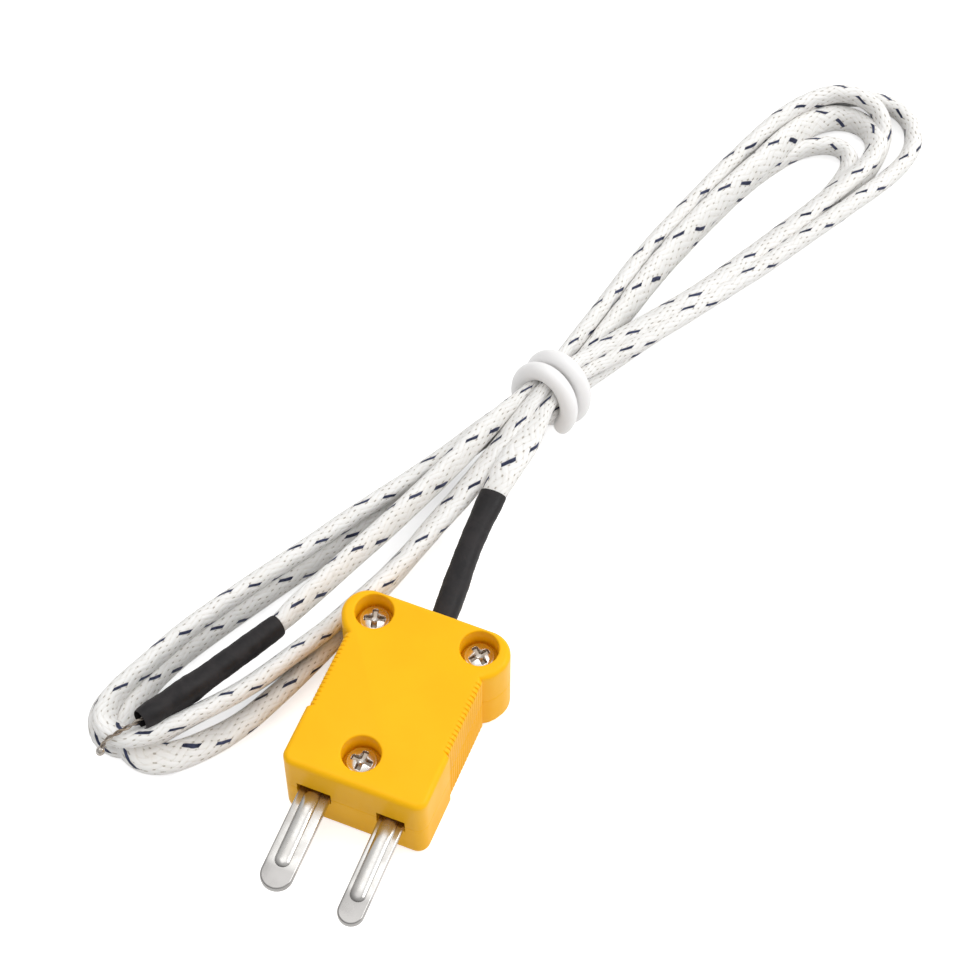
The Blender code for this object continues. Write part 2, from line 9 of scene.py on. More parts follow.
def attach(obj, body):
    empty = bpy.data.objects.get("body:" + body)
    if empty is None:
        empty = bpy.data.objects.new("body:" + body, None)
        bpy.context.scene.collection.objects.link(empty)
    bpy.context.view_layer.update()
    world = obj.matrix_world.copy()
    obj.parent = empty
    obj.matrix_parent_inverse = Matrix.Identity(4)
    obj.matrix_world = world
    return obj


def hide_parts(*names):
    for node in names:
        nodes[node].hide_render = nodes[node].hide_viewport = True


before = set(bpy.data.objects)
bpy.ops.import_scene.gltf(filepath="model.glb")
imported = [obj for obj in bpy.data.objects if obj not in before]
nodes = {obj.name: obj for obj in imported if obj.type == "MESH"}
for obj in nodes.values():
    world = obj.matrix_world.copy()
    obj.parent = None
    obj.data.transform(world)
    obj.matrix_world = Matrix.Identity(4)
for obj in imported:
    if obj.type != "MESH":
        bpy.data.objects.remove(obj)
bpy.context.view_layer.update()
mm = 0.001


# shared helpers


def meshPiece(name, verts, faces, surface, smoothTo=None):
    data = bpy.data.meshes.new(name)
    data.from_pydata([tuple(v) for v in verts], [], faces)
    if surface:
        data.materials.append(surface)
    data.update()
    piece = bpy.data.objects.new(name, data)
    bpy.context.scene.collection.objects.link(piece)
    if smoothTo:
        finishShading(piece, smoothTo)
    return piece


def finishShading(piece, degrees):
    piece.data.shade_smooth()
    piece.data.set_sharp_from_angle(angle=math.radians(degrees))


def turnOutwards(piece, mergeAt=1e-7):
    shape = bmesh.new()
    shape.from_mesh(piece.data)
    bmesh.ops.remove_doubles(shape, verts=shape.verts, dist=mergeAt)
    bmesh.ops.recalc_face_normals(shape, faces=shape.faces)
    shape.to_mesh(piece.data)
    shape.free()
    piece.data.update()


def lofted(name, rings, surface, smoothTo=None, closeRound=False):
    verts = [p for ring in rings for p in ring]
    count = len(rings[0])
    rows = len(rings)
    faces = []
    for r in range(rows if closeRound else rows - 1):
        low, high = r * count, ((r + 1) % rows) * count
        for k in range(count):
            after = (k + 1) % count
            faces.append((low + k, low + after, high + after, high + k))
    if not closeRound:
        faces.append(tuple(range(count - 1, -1, -1)))
        faces.append(tuple(range((rows - 1) * count, rows * count)))
    piece = meshPiece(name, verts, faces, surface)
    turnOutwards(piece)
    if smoothTo:
        finishShading(piece, smoothTo)
    return piece


def freeze(piece):
    graph = bpy.context.evaluated_depsgraph_get()
    made = bpy.data.meshes.new_from_object(piece.evaluated_get(graph))
    piece.modifiers.clear()
    piece.data = made
    return piece


def cutBy(piece, cutters, operation="DIFFERENCE"):
    for cutter in cutters:
        step = piece.modifiers.new("cut", "BOOLEAN")
        step.operation = operation
        step.solver = "EXACT"
        step.object = cutter
        freeze(piece)
        bpy.data.objects.remove(cutter, do_unlink=True)
    return piece


def splinePoints(controls, fine=16):
    # a smooth cubic through the neighbourhood of the given rows, all columns at once
    rows = np.array(controls, float)
    rows = np.vstack([2 * rows[0] - rows[1], rows, 2 * rows[-1] - rows[-2]])
    made = []
    for a, b, c, d in zip(rows, rows[1:], rows[2:], rows[3:]):
        for t in np.linspace(0, 1, fine, endpoint=False):
            first, second = (1 - t) ** 3 / 6, (3 * t**3 - 6 * t**2 + 4) / 6
            third, fourth = (-3 * t**3 + 3 * t**2 + 3 * t + 1) / 6, t**3 / 6
            made.append(first * a + second * b + third * c + fourth * d)
    made.append(rows[-2])
    return np.array(made)


def evenly(rows, step, columns=3):
    travelled = np.concatenate([[0], np.cumsum(np.linalg.norm(np.diff(rows[:, :columns], axis=0), axis=1))])
    count = int(round(travelled[-1] / step)) + 1
    wanted = np.linspace(0, travelled[-1], count)
    return np.stack([np.interp(wanted, travelled, rows[:, k]) for k in range(rows.shape[1])], axis=1)


def unit(v):
    return v / np.linalg.norm(v, axis=-1, keepdims=True)


# material helpers


class Surface:
    # a small builder for node materials; every link goes from left to right

    def __init__(self, name, colour=(0.8, 0.8, 0.8), roughness=0.5, metallic=0.0):
        self.made = bpy.data.materials.new(name)
        self.made.use_nodes = True
        self.tree = self.made.node_tree
        self.shader = self.tree.nodes["Principled BSDF"]
        self.shader.inputs["Base Color"].default_value = (*colour, 1)
        self.shader.inputs["Roughness"].default_value = roughness
        self.shader.inputs["Metallic"].default_value = metallic
        self.made.diffuse_color = (*colour, 1)

    def node(self, kind, **settings):
        made = self.tree.nodes.new(kind)
        for key, value in settings.items():
            setattr(made, key, value)
        return made

    def link(self, source, target):
        self.tree.links.new(source, target)

    def feed(self, value, socket):
        if isinstance(value, (int, float)):
            socket.default_value = value
        elif isinstance(value, tuple):
            opaque = len(value) == 3 and len(socket.default_value) == 4
            socket.default_value = (*value, 1) if opaque else value
        else:
            self.link(value, socket)

    def math(self, operation, a, b=0.0):
        made = self.node("ShaderNodeMath", operation=operation)
        for value, socket in zip((a, b), made.inputs):
            self.feed(value, socket)
        return made.outputs[0]

    def mix(self, factor, first, second):
        made = self.node("ShaderNodeMix", data_type="RGBA")
        self.feed(factor, made.inputs["Factor"])
        self.feed(first, made.inputs[6])
        self.feed(second, made.inputs[7])
        return made.outputs[2]

    def ramp(self, value, low, high, outLow=0.0, outHigh=1.0):
        made = self.node("ShaderNodeMapRange", clamp=True, interpolation_type="SMOOTHSTEP")
        for socket, v in zip(made.inputs, (value, low, high, outLow, outHigh)):
            self.feed(v, socket)
        return made.outputs[0]

    def noise(self, vector, scale, detail=2.0, roughness=0.5, distortion=0.0):
        made = self.node("ShaderNodeTexNoise")
        self.feed(vector, made.inputs["Vector"])
        made.inputs["Scale"].default_value = scale
        made.inputs["Detail"].default_value = detail
        made.inputs["Roughness"].default_value = roughness
        made.inputs["Distortion"].default_value = distortion
        return made.outputs["Fac"]

    def place(self):
        return self.node("ShaderNodeTexCoord").outputs["Object"]

    def bump(self, height, distance, strength=1.0):
        made = self.node("ShaderNodeBump")
        made.inputs["Distance"].default_value = distance
        made.inputs["Strength"].default_value = strength
        self.feed(height, made.inputs["Height"])
        self.link(made.outputs[0], self.shader.inputs["Normal"])

    def colour(self, value):
        self.feed(value, self.shader.inputs["Base Color"])

    def rough(self, value):
        self.feed(value, self.shader.inputs["Roughness"])


# geometry node helpers


class Recipe:
    # a geometry node tree with named inputs; run() applies it and leaves a plain mesh

    def __init__(self, name, inputs):
        self.tree = bpy.data.node_groups.new(name, "GeometryNodeTree")
        face = self.tree.interface
        face.new_socket("Geometry", in_out="INPUT", socket_type="NodeSocketGeometry")
        for label, kind in inputs.items():
            face.new_socket(label, in_out="INPUT", socket_type="NodeSocket" + kind)
        face.new_socket("Geometry", in_out="OUTPUT", socket_type="NodeSocketGeometry")
        self.given = self.tree.nodes.new("NodeGroupInput").outputs

    def node(self, kind, feeds=None, **settings):
        made = self.tree.nodes.new(kind)
        for key, value in settings.items():
            setattr(made, key, value)
        for socket, value in (feeds or {}).items():
            if isinstance(value, bpy.types.NodeSocket):
                self.tree.links.new(value, made.inputs[socket])
            else:
                made.inputs[socket].default_value = value
        return made.outputs

    def math(self, operation, a, b=0.0):
        return self.node("ShaderNodeMath", {0: a, 1: b}, operation=operation)[0]

    def finish(self, shape):
        real = self.node("GeometryNodeRealizeInstances", {0: shape})[0]
        feeds = {"Geometry": real, "Material": self.given["surface"]}
        dressed = self.node("GeometryNodeSetMaterial", feeds)[0]
        out = self.tree.nodes.new("NodeGroupOutput")
        self.tree.links.new(dressed, out.inputs[0])
        return self

    def run(self, piece, degrees=40, **values):
        step = piece.modifiers.new(self.tree.name, "NODES")
        step.node_group = self.tree
        for item in self.tree.interface.items_tree:
            if item.in_out == "INPUT" and item.name in values:
                step[item.identifier] = values[item.name]
        freeze(piece)
        turnOutwards(piece)
        finishShading(piece, degrees)
        return piece


def wireRecipe():
    # a round wire along a path; twistRadius above 0 winds it about the path
    sockets = {"wireRadius": "Float", "sides": "Int", "twistRadius": "Float", "twistPitch": "Float",
               "startAngle": "Float", "surface": "Material"}
    r = Recipe("wireAlongPath", sockets)
    path = r.node("GeometryNodeMeshToCurve", {0: r.given["Geometry"]})[0]
    gone = r.node("GeometryNodeSplineParameter")["Length"]
    turned = r.math("MULTIPLY", r.math("DIVIDE", gone, r.given["twistPitch"]), 2 * math.pi)
    angle = r.math("ADD", turned, r.given["startAngle"])
    normal = r.node("GeometryNodeInputNormal")[0]
    tangent = r.node("GeometryNodeInputTangent")[0]
    other = r.node("ShaderNodeVectorMath", {0: tangent, 1: normal}, operation="CROSS_PRODUCT")[0]
    offset = []
    for side, wave in ((normal, "COSINE"), (other, "SINE")):
        reach = r.math("MULTIPLY", r.math(wave, angle), r.given["twistRadius"])
        offset.append(r.node("ShaderNodeVectorMath", {0: side, "Scale": reach}, operation="SCALE")[0])
    both = r.node("ShaderNodeVectorMath", {0: offset[0], 1: offset[1]}, operation="ADD")[0]
    wound = r.node("GeometryNodeSetPosition", {"Geometry": path, "Offset": both})[0]
    profile = {"Resolution": r.given["sides"], "Radius": r.given["wireRadius"]}
    ring = r.node("GeometryNodeCurvePrimitiveCircle", profile)[0]
    swept = r.node("GeometryNodeCurveToMesh", {"Curve": wound, "Profile Curve": ring, "Fill Caps": True})[0]
    return r.finish(swept)


def pathPiece(name, points):
    data = bpy.data.meshes.new(name)
    data.from_pydata([tuple(p) for p in points], [(k, k + 1) for k in range(len(points) - 1)], [])
    piece = bpy.data.objects.new(name, data)
    bpy.context.scene.collection.objects.link(piece)
    return piece


# camera, floor and light

cameraView = {
    "target": (-2.752, 36.37, 0.0),
    "turn": 22.2,
    "raise": 56.6,
    "distance": 282.3,
    "lens": 100.0,
}


def lookDirection():
    turn, lift = math.radians(cameraView["turn"]), math.radians(cameraView["raise"])
    return Vector((-math.sin(turn) * math.cos(lift), math.cos(turn) * math.cos(lift), -math.sin(lift)))


def addCamera():
    data = bpy.data.cameras.new("productCamera")
    data.lens = cameraView["lens"]
    data.sensor_width = 36.0
    data.clip_start = 0.01
    data.clip_end = 10.0
    camera = bpy.data.objects.new("productCamera", data)
    bpy.context.scene.collection.objects.link(camera)
    ahead = lookDirection()
    turn = math.radians(cameraView["turn"])
    right = Vector((math.cos(turn), math.sin(turn), 0))
    up = right.cross(ahead)
    turned = Matrix((right, up, -ahead)).transposed()
    place = (Vector(cameraView["target"]) - ahead * cameraView["distance"]) * mm
    camera.matrix_world = Matrix.Translation(place) @ turned.to_4x4()
    bpy.context.scene.camera = camera


studio = {
    "airLow": 0.42,
    "airHigh": 0.92,
    "brightSide": (0.30, 0.35, 0.89),
    "floorColour": (0.80, 0.80, 0.80),
    "floorGlow": 0.62,
    "floorSize": 3.0,
    "panels": [  # name, place, size, power; each looks at the plug
        ("rightPanel", (0.42, 0.22, 0.45), 0.35, 1.25),
        ("topPanel", (-0.05, 0.10, 0.70), 0.50, 0.8),
    ],
}


def addAir():
    world = bpy.data.worlds.new("studioAir")
    bpy.context.scene.world = world
    world.use_nodes = True
    tree = world.node_tree
    tree.nodes.clear()
    out = tree.nodes.new("ShaderNodeOutputWorld")
    way = tree.nodes.new("ShaderNodeTexCoord")
    facing = tree.nodes.new("ShaderNodeVectorMath")
    facing.operation = "DOT_PRODUCT"
    facing.inputs[1].default_value = studio["brightSide"]
    tree.links.new(way.outputs["Generated"], facing.inputs[0])
    grade = tree.nodes.new("ShaderNodeMapRange")
    grade.interpolation_type = "SMOOTHSTEP"
    tree.links.new(facing.outputs["Value"], grade.inputs["Value"])
    limits = {"From Min": -0.2, "From Max": 0.8, "To Min": studio["airLow"], "To Max": studio["airHigh"]}
    for socket, value in limits.items():
        grade.inputs[socket].default_value = value
    soft = tree.nodes.new("ShaderNodeBackground")
    tree.links.new(grade.outputs[0], soft.inputs["Strength"])
    seen = tree.nodes.new("ShaderNodeBackground")
    seen.inputs["Color"].default_value = soft.inputs["Color"].default_value = (1, 1, 1, 1)
    rays = tree.nodes.new("ShaderNodeLightPath")
    shown = tree.nodes.new("ShaderNodeMath")
    shown.operation = "MAXIMUM"
    tree.links.new(rays.outputs["Is Camera Ray"], shown.inputs[0])
    tree.links.new(rays.outputs["Is Transmission Ray"], shown.inputs[1])
    pick = tree.nodes.new("ShaderNodeMixShader")
    tree.links.new(shown.outputs[0], pick.inputs[0])
    tree.links.new(soft.outputs[0], pick.inputs[1])
    tree.links.new(seen.outputs[0], pick.inputs[2])
    tree.links.new(pick.outputs[0], out.inputs[0])


def addPanels():
    for name, place, size, power in studio["panels"]:
        data = bpy.data.lights.new(name, "AREA")
        data.shape = "SQUARE"
        data.size = size
        data.energy = power
        lamp = bpy.data.objects.new(name, data)
        bpy.context.scene.collection.objects.link(lamp)
        lamp.location = place
        lamp.rotation_euler = (Vector((0, 0.03, 0)) - Vector(place)).to_track_quat("-Z", "Y").to_euler()


def addFloor():
    paper = Surface("studioPaper", studio["floorColour"], 0.9)
    paper.shader.inputs["Specular IOR Level"].default_value = 0.0
    glow = paper.node("ShaderNodeEmission")
    rays = paper.node("ShaderNodeLightPath").outputs
    seen = paper.math("MAXIMUM", rays["Is Camera Ray"], rays["Is Transmission Ray"])
    seen = paper.math("MAXIMUM", seen, paper.math("MULTIPLY", rays["Is Glossy Ray"], 0.5))
    paper.link(paper.math("MULTIPLY", seen, studio["floorGlow"]), glow.inputs["Strength"])
    both = paper.node("ShaderNodeAddShader")
    paper.link(paper.shader.outputs[0], both.inputs[0])
    paper.link(glow.outputs[0], both.inputs[1])
    paper.link(both.outputs[0], paper.tree.nodes["Material Output"].inputs["Surface"])
    half = studio["floorSize"] / 2
    corners = [(-half, -half, 0), (half, -half, 0), (half, half, 0), (-half, half, 0)]
    meshPiece("paperFloor", corners, [(0, 1, 2, 3)], paper.made)


addCamera()
addAir()
addPanels()
addFloor()
bpy.context.scene.view_settings.view_transform = "Standard"
print("camera, floor and light are set")


# where the tie lies; the lead's runs pass through it

tie = {
    "centre": (-0.3, 47.2, 4.52),
    "turn": 15.0,
    "lean": -9.0,
    "halfWidth": 3.1,
    "halfHeight": 3.76,
    "wire": 1.9,
    "pitch": 2.4,
    "lowest": 1.0,
    "endAngle": 54.0,
}


def tieFrame():
    turn, lean = math.radians(tie["turn"]), math.radians(tie["lean"])
    along = np.array([math.sin(turn) * math.cos(lean), math.cos(turn) * math.cos(lean), math.sin(lean)])
    across = np.array([math.cos(turn), -math.sin(turn), 0.0])
    return np.array(tie["centre"]), along, across, np.cross(across, along)


def throughTie(across, up, outward):
    # three rows of one run inside the tie; outward runs go to the far end
    centre, along, side, rise = tieFrame()
    rows = [(*(centre + along * at + side * across + rise * up), 45, 1) for at in (-2.6, 0.0, 2.6)]
    return rows if outward else rows[::-1]


# the braided lead

braid = {
    "halfWidth": 1.6,
    "halfThickness": 0.95,
    "tiedHalf": 0.68,
    "sides": 32,
    "ringStep": 0.55,
    "helixPitch": 17.0,
    "yarns": 12,
}

# each row: x, y, z in mm, the turn of the wide face from the camera (degrees), how far it is squeezed
# (0 to 1); what a row leaves out is 0
leadRuns = {
    "leaves the plug sleeve": [
        (-0.78, 31.2, 5.75, 60, 0.5), (-0.74, 32.5, 6, 60, 0.3), (-0.6, 34.5, 6.3, 65, 0.05),
        (-0.4, 36.5, 6.4, 70), (0, 38.9, 6.4, 65), (0.3, 41.4, 6.3, 55, 0.4),
        *throughTie(1.12, 1.39, True),
    ],
    "outer far loop": [
        (7.2, 57.9, 5.2), (10, 63.6, 4.5), (14.1, 70.4, 4.4), (16.8, 75.6, 4.4), (18.6, 79.1, 4.4),
        (20.2, 82.2, 4.3), (21.7, 85.9, 3.6), (23.3, 90.1, 2.6), (24.3, 94.1, 1.8), (24.2, 97, 1.5),
        (23.3, 99, 1.5), (21.8, 100.5, 1.5), (19.9, 101.2, 1.5), (17.5, 101.2, 1.5), (15.3, 100.6, 1.5),
        (12.9, 99.1, 1.5), (11.4, 97.4, 1.5), (10, 95.2, 1.5), (8.6, 92.2, 1.5), (7.4, 88.8, 1.5),
        (5.8, 84.4, 1.5), (4.3, 79, 1.5), (2.6, 73.3, 1.5), (1.2, 67.5, 1.5), (0.7, 61.2, 2.4),
    ],
    "first near loop": [
        *throughTie(-1.48, -0.38, False), (-4.1, 42.4, 5, 20, 0.3), (-6, 38.8, 4.6, 5),
        (-7.8, 35.3, 4.4, 5), (-9.7, 31.8, 4.3, 5), (-12.1, 27.9, 4.3, 5), (-15.3, 21.9, 4.3, 5),
        (-16.8, 19.1, 4.3, 5), (-20.1, 13.2, 4.3, 8), (-22.4, 8.7, 4.3, 10), (-23.5, 6.4, 4.3, 12),
        (-24.4, 3.8, 4.3, 15), (-25.3, 1.4, 4.3, 15), (-26.3, -1.1, 4.2, 20), (-26.7, -3, 4.1, 25),
        (-26.5, -4.6, 4.1, 30), (-25.6, -5.7, 4.1, 30), (-24.2, -6.1, 4.2, 25), (-22.9, -5.8, 4.3, 15),
        (-21.7, -5, 4.3, 5), (-20.6, -3.9, 4.3), (-19.3, -2.3, 4.3), (-17.9, -0.6, 4.3),
        (-16.6, 1, 4.3), (-15.3, 2.8, 4.3), (-14.1, 4.9, 4.3), (-13, 7.1, 4.3), (-11.9, 9.4, 4.3),
        (-10.7, 11.6, 4.3), (-9.4, 14.7, 4.3), (-7.7, 18.9, 4.3), (-6.6, 22, 4.3, 5),
        (-5.8, 25.3, 4.3, 15), (-5, 28.6, 4.3, 25), (-4.1, 31.5, 4.4, 30), (-3.3, 34.9, 4.7, 30),
        (-2.4, 38.1, 5.4, 20, 0.1), *throughTie(-0.02, 2.19, True),
    ],
    "second far loop": [
        (7.3, 60.7, 5.3, 20), (10.5, 66.9, 4.6, 15), (13.9, 74.2, 4.4, 15), (16.3, 79, 4.4, 15),
        (17.6, 81.9, 4.4, 15), (19.5, 86.9, 4.1, 15), (20.6, 90.4, 3.2, 12), (20.7, 93.7, 2.4, 12),
        (19.5, 96.2, 1.8, 20), (17.6, 97.5, 1.5, 30), (15.3, 97.4, 1.5, 45), (13.3, 95.6, 2.1, 52),
        (12, 92.8, 3, 50), (11, 89.8, 3.8, 46), (10.2, 86.7, 4.2, 42), (9, 83.5, 4.3, 42),
        (7.9, 80.5, 4.3, 42), (6.2, 75.4, 4.3, 42), (4.85, 70.1, 4.3, 42), (3.7, 65.1, 4.3, 40),
        (2.9, 59.7, 4.4, 35),
    ],
    "second near loop": [
        *throughTie(0, 0.1, False), (-5.4, 39.6, 3.4, 25, 0.2), (-7.9, 35.3, 2.2, 22),
        (-9.8, 31.8, 1.7, 20), (-12, 27.4, 1.5, 20), (-15.2, 21.2, 1.5, 20), (-16.8, 18.6, 1.5, 20),
        (-20, 12.5, 1.5, 20), (-22.3, 7.9, 1.5, 20), (-23.4, 5.6, 1.5, 20), (-24.3, 3, 1.6, 20),
        (-24.7, 0.7, 1.9, 20), (-24.8, -1.6, 2.3, 25), (-24.5, -3.7, 2.5, 30), (-23.9, -5.1, 2.3, 40),
        (-22.9, -5.9, 1.7, 55), (-21.6, -6, 1.2, 65), (-20.2, -5.4, 1, 66), (-18.7, -4.2, 1, 60),
        (-17.3, -2.7, 1, 50), (-15.9, -1, 1.1, 40), (-14.6, 0.8, 1.3, 30), (-13.5, 3.1, 1.4, 25),
        (-12.5, 5.7, 1.5, 20), (-11.5, 8.2, 1.5, 15), (-10.6, 11, 1.5, 10), (-9.5, 14.6, 1.5),
        (-8.1, 19.7, 1.5), (-7.2, 23.2, 1.5), (-5.6, 29.8, 1.5), (-4.4, 34.8, 1.8),
        (-3.1, 39.1, 2.4, 10, 0.1), *throughTie(0.62, -1.84, True),
    ],
    "third far loop": [
        (6.8, 62.7, 2, 15), (9.9, 68.9, 1.5, 10), (13.5, 76.3, 1.5, 10), (15.8, 81.3, 1.5, 10),
        (17.2, 84.1, 1.5, 5), (18.4, 88.8, 1.5, 5), (18.7, 91.2, 1.5, 5), (17.7, 92.8, 1.5, 5),
        (16, 93.3, 1.5, 10), (13.9, 92.3, 1.5, 10), (12.1, 90.6, 1.5, 10), (10.6, 88.1, 1.5, 10),
        (9.2, 85.3, 1.5, 10), (7.9, 82.3, 1.5, 15), (6.2, 77.2, 1.5, 20), (4.6, 71.8, 1.5, 20),
        (3.3, 66.8, 1.5, 20), (2.5, 61, 2, 20),
    ],
    "third near loop": [
        *throughTie(-0.67, -1.81, False), (-5.8, 41.2, 2.6, 5, 0.2), (-8.5, 36.8, 1.8),
        (-10.4, 33.4, 1.5), (-13, 29.5, 1.5), (-16.1, 23.4, 1.5), (-17.7, 20.6, 1.5), (-21, 14.6, 1.5),
        (-23.3, 10, 1.5), (-24.4, 7.7, 1.5), (-25.3, 5.1, 1.5), (-26.3, 2.6, 1.4),
        (-27.3, 0.2, 1.2, 15), (-27.9, -1.8, 1, 30), (-27.7, -3.5, 0.95, 45), (-26.7, -4.8, 0.95, 55),
        (-25.4, -5.5, 1, 60), (-23.8, -5.2, 1, 50), (-22.4, -4, 1, 30), (-21.1, -2.4, 1.3, 10),
        (-19.8, -0.7, 1.5), (-18.5, 1, 1.5), (-17.1, 2.8, 1.5), (-15.8, 4.7, 1.5), (-14.6, 6.7, 1.5),
        (-13.5, 9, 1.5), (-12.5, 11.2, 1.5), (-11.4, 13.3, 1.5), (-10.2, 16.3, 1.5), (-8.5, 20.6, 1.5),
        (-7.4, 23.7, 1.5), (-5.7, 30.2, 1.8), (-4.2, 35, 2.6), (-2.8, 39.1, 3.6, 0, 0.1),
        *throughTie(1.43, -0.45, True),
    ],
    "top far loop": [
        (6.5, 60.3, 2.2), (9.3, 66, 1.5), (13.4, 73.3, 1.5), (16.1, 78.5, 1.5), (17.9, 82, 1.5),
        (19.3, 86, 1.5), (20.4, 89.1, 1.5), (20.9, 92.2, 1.6), (21, 94.8, 1.9), (20.6, 96.7, 2.6),
        (19.7, 97.9, 3.4), (18.3, 98.6, 3.9), (16.4, 98.8, 4.2), (14.5, 98.4, 4.3, 6),
        (12.8, 97, 4.3, 12), (11.2, 95.1, 4.3, 12), (10, 93, 4.3, 12), (8.7, 90.1, 4.3, 12),
        (7.6, 86.6, 4.3, 12), (6.1, 82.3, 4.3, 12), (4.7, 77, 4.3, 12), (2.9, 71.3, 4.3, 12),
        (1.6, 65.5, 4.3, 6), (0.8, 60, 4.6),
    ],
    "runs to the tip sleeve": [
        *throughTie(-1.3, 1.46, False), (-4.1, 40.3, 6.2, 35, 0.3), (-4.8, 38.3, 6.2, 30),
        (-5.7, 35.4, 6, 28), (-6.6, 32.5, 5.8, 28), (-7.7, 29.7, 5.6, 28), (-8.7, 27, 5.4, 28),
        (-9.7, 24.3, 5.3, 28), (-10.8, 21.6, 5.2, 28), (-11.8, 19.1, 5.1, 28), (-12.8, 16.4, 5, 28),
        (-13.7, 14.2, 5, 28), (-14.3, 12.3, 5, 25, 0.05), (-14.8, 10.8, 5.05, 20, 0.3),
        (-15.5, 9.2, 5.1, 20, 0.6),
    ],
}


def leadSurface():
    s = Surface("glassBraid", (0.87, 0.865, 0.85), 0.78)
    s.shader.inputs["Specular IOR Level"].default_value = 0.3
    uv = s.node("ShaderNodeUVMap", uv_map="along")
    parts = s.node("ShaderNodeSeparateXYZ")
    s.link(uv.outputs[0], parts.inputs[0])
    uneven = s.noise(s.place(), 480.0, 2.0, 0.5)
    along = s.math("ADD", parts.outputs[0], s.math("MULTIPLY", uneven, 1.1))  # no yarn lies quite straight
    around = s.math("ADD", parts.outputs[1], s.math("MULTIPLY", s.noise(s.place(), 390.0, 2.0, 0.5), 0.03))
    turns = s.math("DIVIDE", along, braid["helixPitch"])
    rightYarn = s.math("MULTIPLY", s.math("ADD", turns, around), float(braid["yarns"]))
    leftYarn = s.math("MULTIPLY", s.math("SUBTRACT", turns, around), float(braid["yarns"]))

    def crown(value):  # 1 along a yarn's middle, 0 at its edges
        centred = s.math("SUBTRACT", s.math("MULTIPLY", s.math("FRACT", value), 2.0), 1.0)
        return s.math("SUBTRACT", 1.0, s.math("POWER", s.math("ABSOLUTE", centred), 2.2))

    rightCrown, leftCrown = crown(rightYarn), crown(leftYarn)
    sumIndex = s.math("ADD", s.math("FLOOR", rightYarn), s.math("FLOOR", leftYarn))
    rightOver = s.math("LESS_THAN", s.math("FLOORED_MODULO", sumIndex, 4.0), 1.5)
    leftOver = s.math("SUBTRACT", 1.0, rightOver)
    rightHeight = s.math("MULTIPLY", rightCrown, s.math("ADD", s.math("MULTIPLY", rightOver, 0.45), 0.55))
    leftHeight = s.math("MULTIPLY", leftCrown, s.math("ADD", s.math("MULTIPLY", leftOver, 0.45), 0.55))
    height = s.math("MAXIMUM", rightHeight, leftHeight)

    def strands(value):  # the fine glass filaments in one yarn
        return s.math("SINE", s.math("MULTIPLY", value, 2 * math.pi * 4.0))

    topRight = s.math("MULTIPLY", strands(rightYarn), rightOver)
    topStrands = s.math("ADD", topRight, s.math("MULTIPLY", strands(leftYarn), leftOver))
    s.bump(s.math("ADD", height, s.math("MULTIPLY", topStrands, 0.10)), 0.055 * mm, 0.9)

    wander = s.noise(s.place(), 1100.0, 3.0, 0.6)
    patches = s.noise(s.place(), 130.0, 2.0, 0.5)
    pale = s.mix(s.ramp(patches, 0.35, 0.7), (0.862, 0.855, 0.838), (0.90, 0.893, 0.882))
    dim = s.mix(s.ramp(wander, 0.45, 0.8), pale, (0.83, 0.81, 0.775))
    # painted shade: the valleys between the yarns take a darker, warmer colour than the yarn crowns
    wovenWithShade = s.mix(s.ramp(height, 0.3, 0.75), (0.80, 0.78, 0.745), dim)
    # painted shade: dark brown spots in some of the deepest gaps, where four yarns part
    sunk = s.math("MULTIPLY", s.math("SUBTRACT", 1.0, rightCrown), s.math("SUBTRACT", 1.0, leftCrown))
    gapShade = s.math("MULTIPLY", s.ramp(sunk, 0.22, 0.5), s.ramp(wander, 0.46, 0.56))
    wovenWithShade = s.mix(s.math("MULTIPLY", gapShade, 0.75), wovenWithShade, (0.33, 0.29, 0.235))

    # two coloured yarns, opposite each other, show as short dashes
    whichYarn = s.math("FLOORED_MODULO", s.math("FLOOR", leftYarn), braid["yarns"] / 2)
    isTracer = s.math("LESS_THAN", whichYarn, 0.5)
    shown = s.math("MULTIPLY", s.math("MULTIPLY", isTracer, leftOver), s.ramp(leftCrown, 0.5, 0.82))
    navy = s.mix(s.ramp(wander, 0.35, 0.7), (0.014, 0.018, 0.045), (0.05, 0.06, 0.12))
    s.colour(s.mix(shown, wovenWithShade, navy))
    s.rough(s.ramp(height, 0.0, 1.0, 0.9, 0.66))
    return s.made


def ovalFrame(rows):
    # which way the wide and the thin side of an oval section point, along a route with its turn in column 3
    centre = rows[:, :3]
    ahead = unit(np.gradient(centre, axis=0))
    look = np.array(lookDirection())
    first = unit(look - ahead * (ahead @ look)[:, None])
    second = np.cross(ahead, first)
    roll = np.radians(rows[:, 3])[:, None]
    wide = np.cos(roll) * first + np.sin(roll) * second
    return centre, wide, np.cross(ahead, wide)


def ovalRings(rows, halfWide, halfThin, sides, square=1.0):
    centre, wide, thin = ovalFrame(rows)
    turns = np.linspace(0, 2 * math.pi, sides, endpoint=False)
    c = np.sign(np.cos(turns)) * np.abs(np.cos(turns)) ** square
    n = np.sign(np.sin(turns)) * np.abs(np.sin(turns)) ** square
    beside = wide[:, None, :] * (np.asarray(halfWide)[:, None] * c)[..., None]
    return centre[:, None, :] + beside + thin[:, None, :] * (np.asarray(halfThin)[:, None] * n)[..., None]


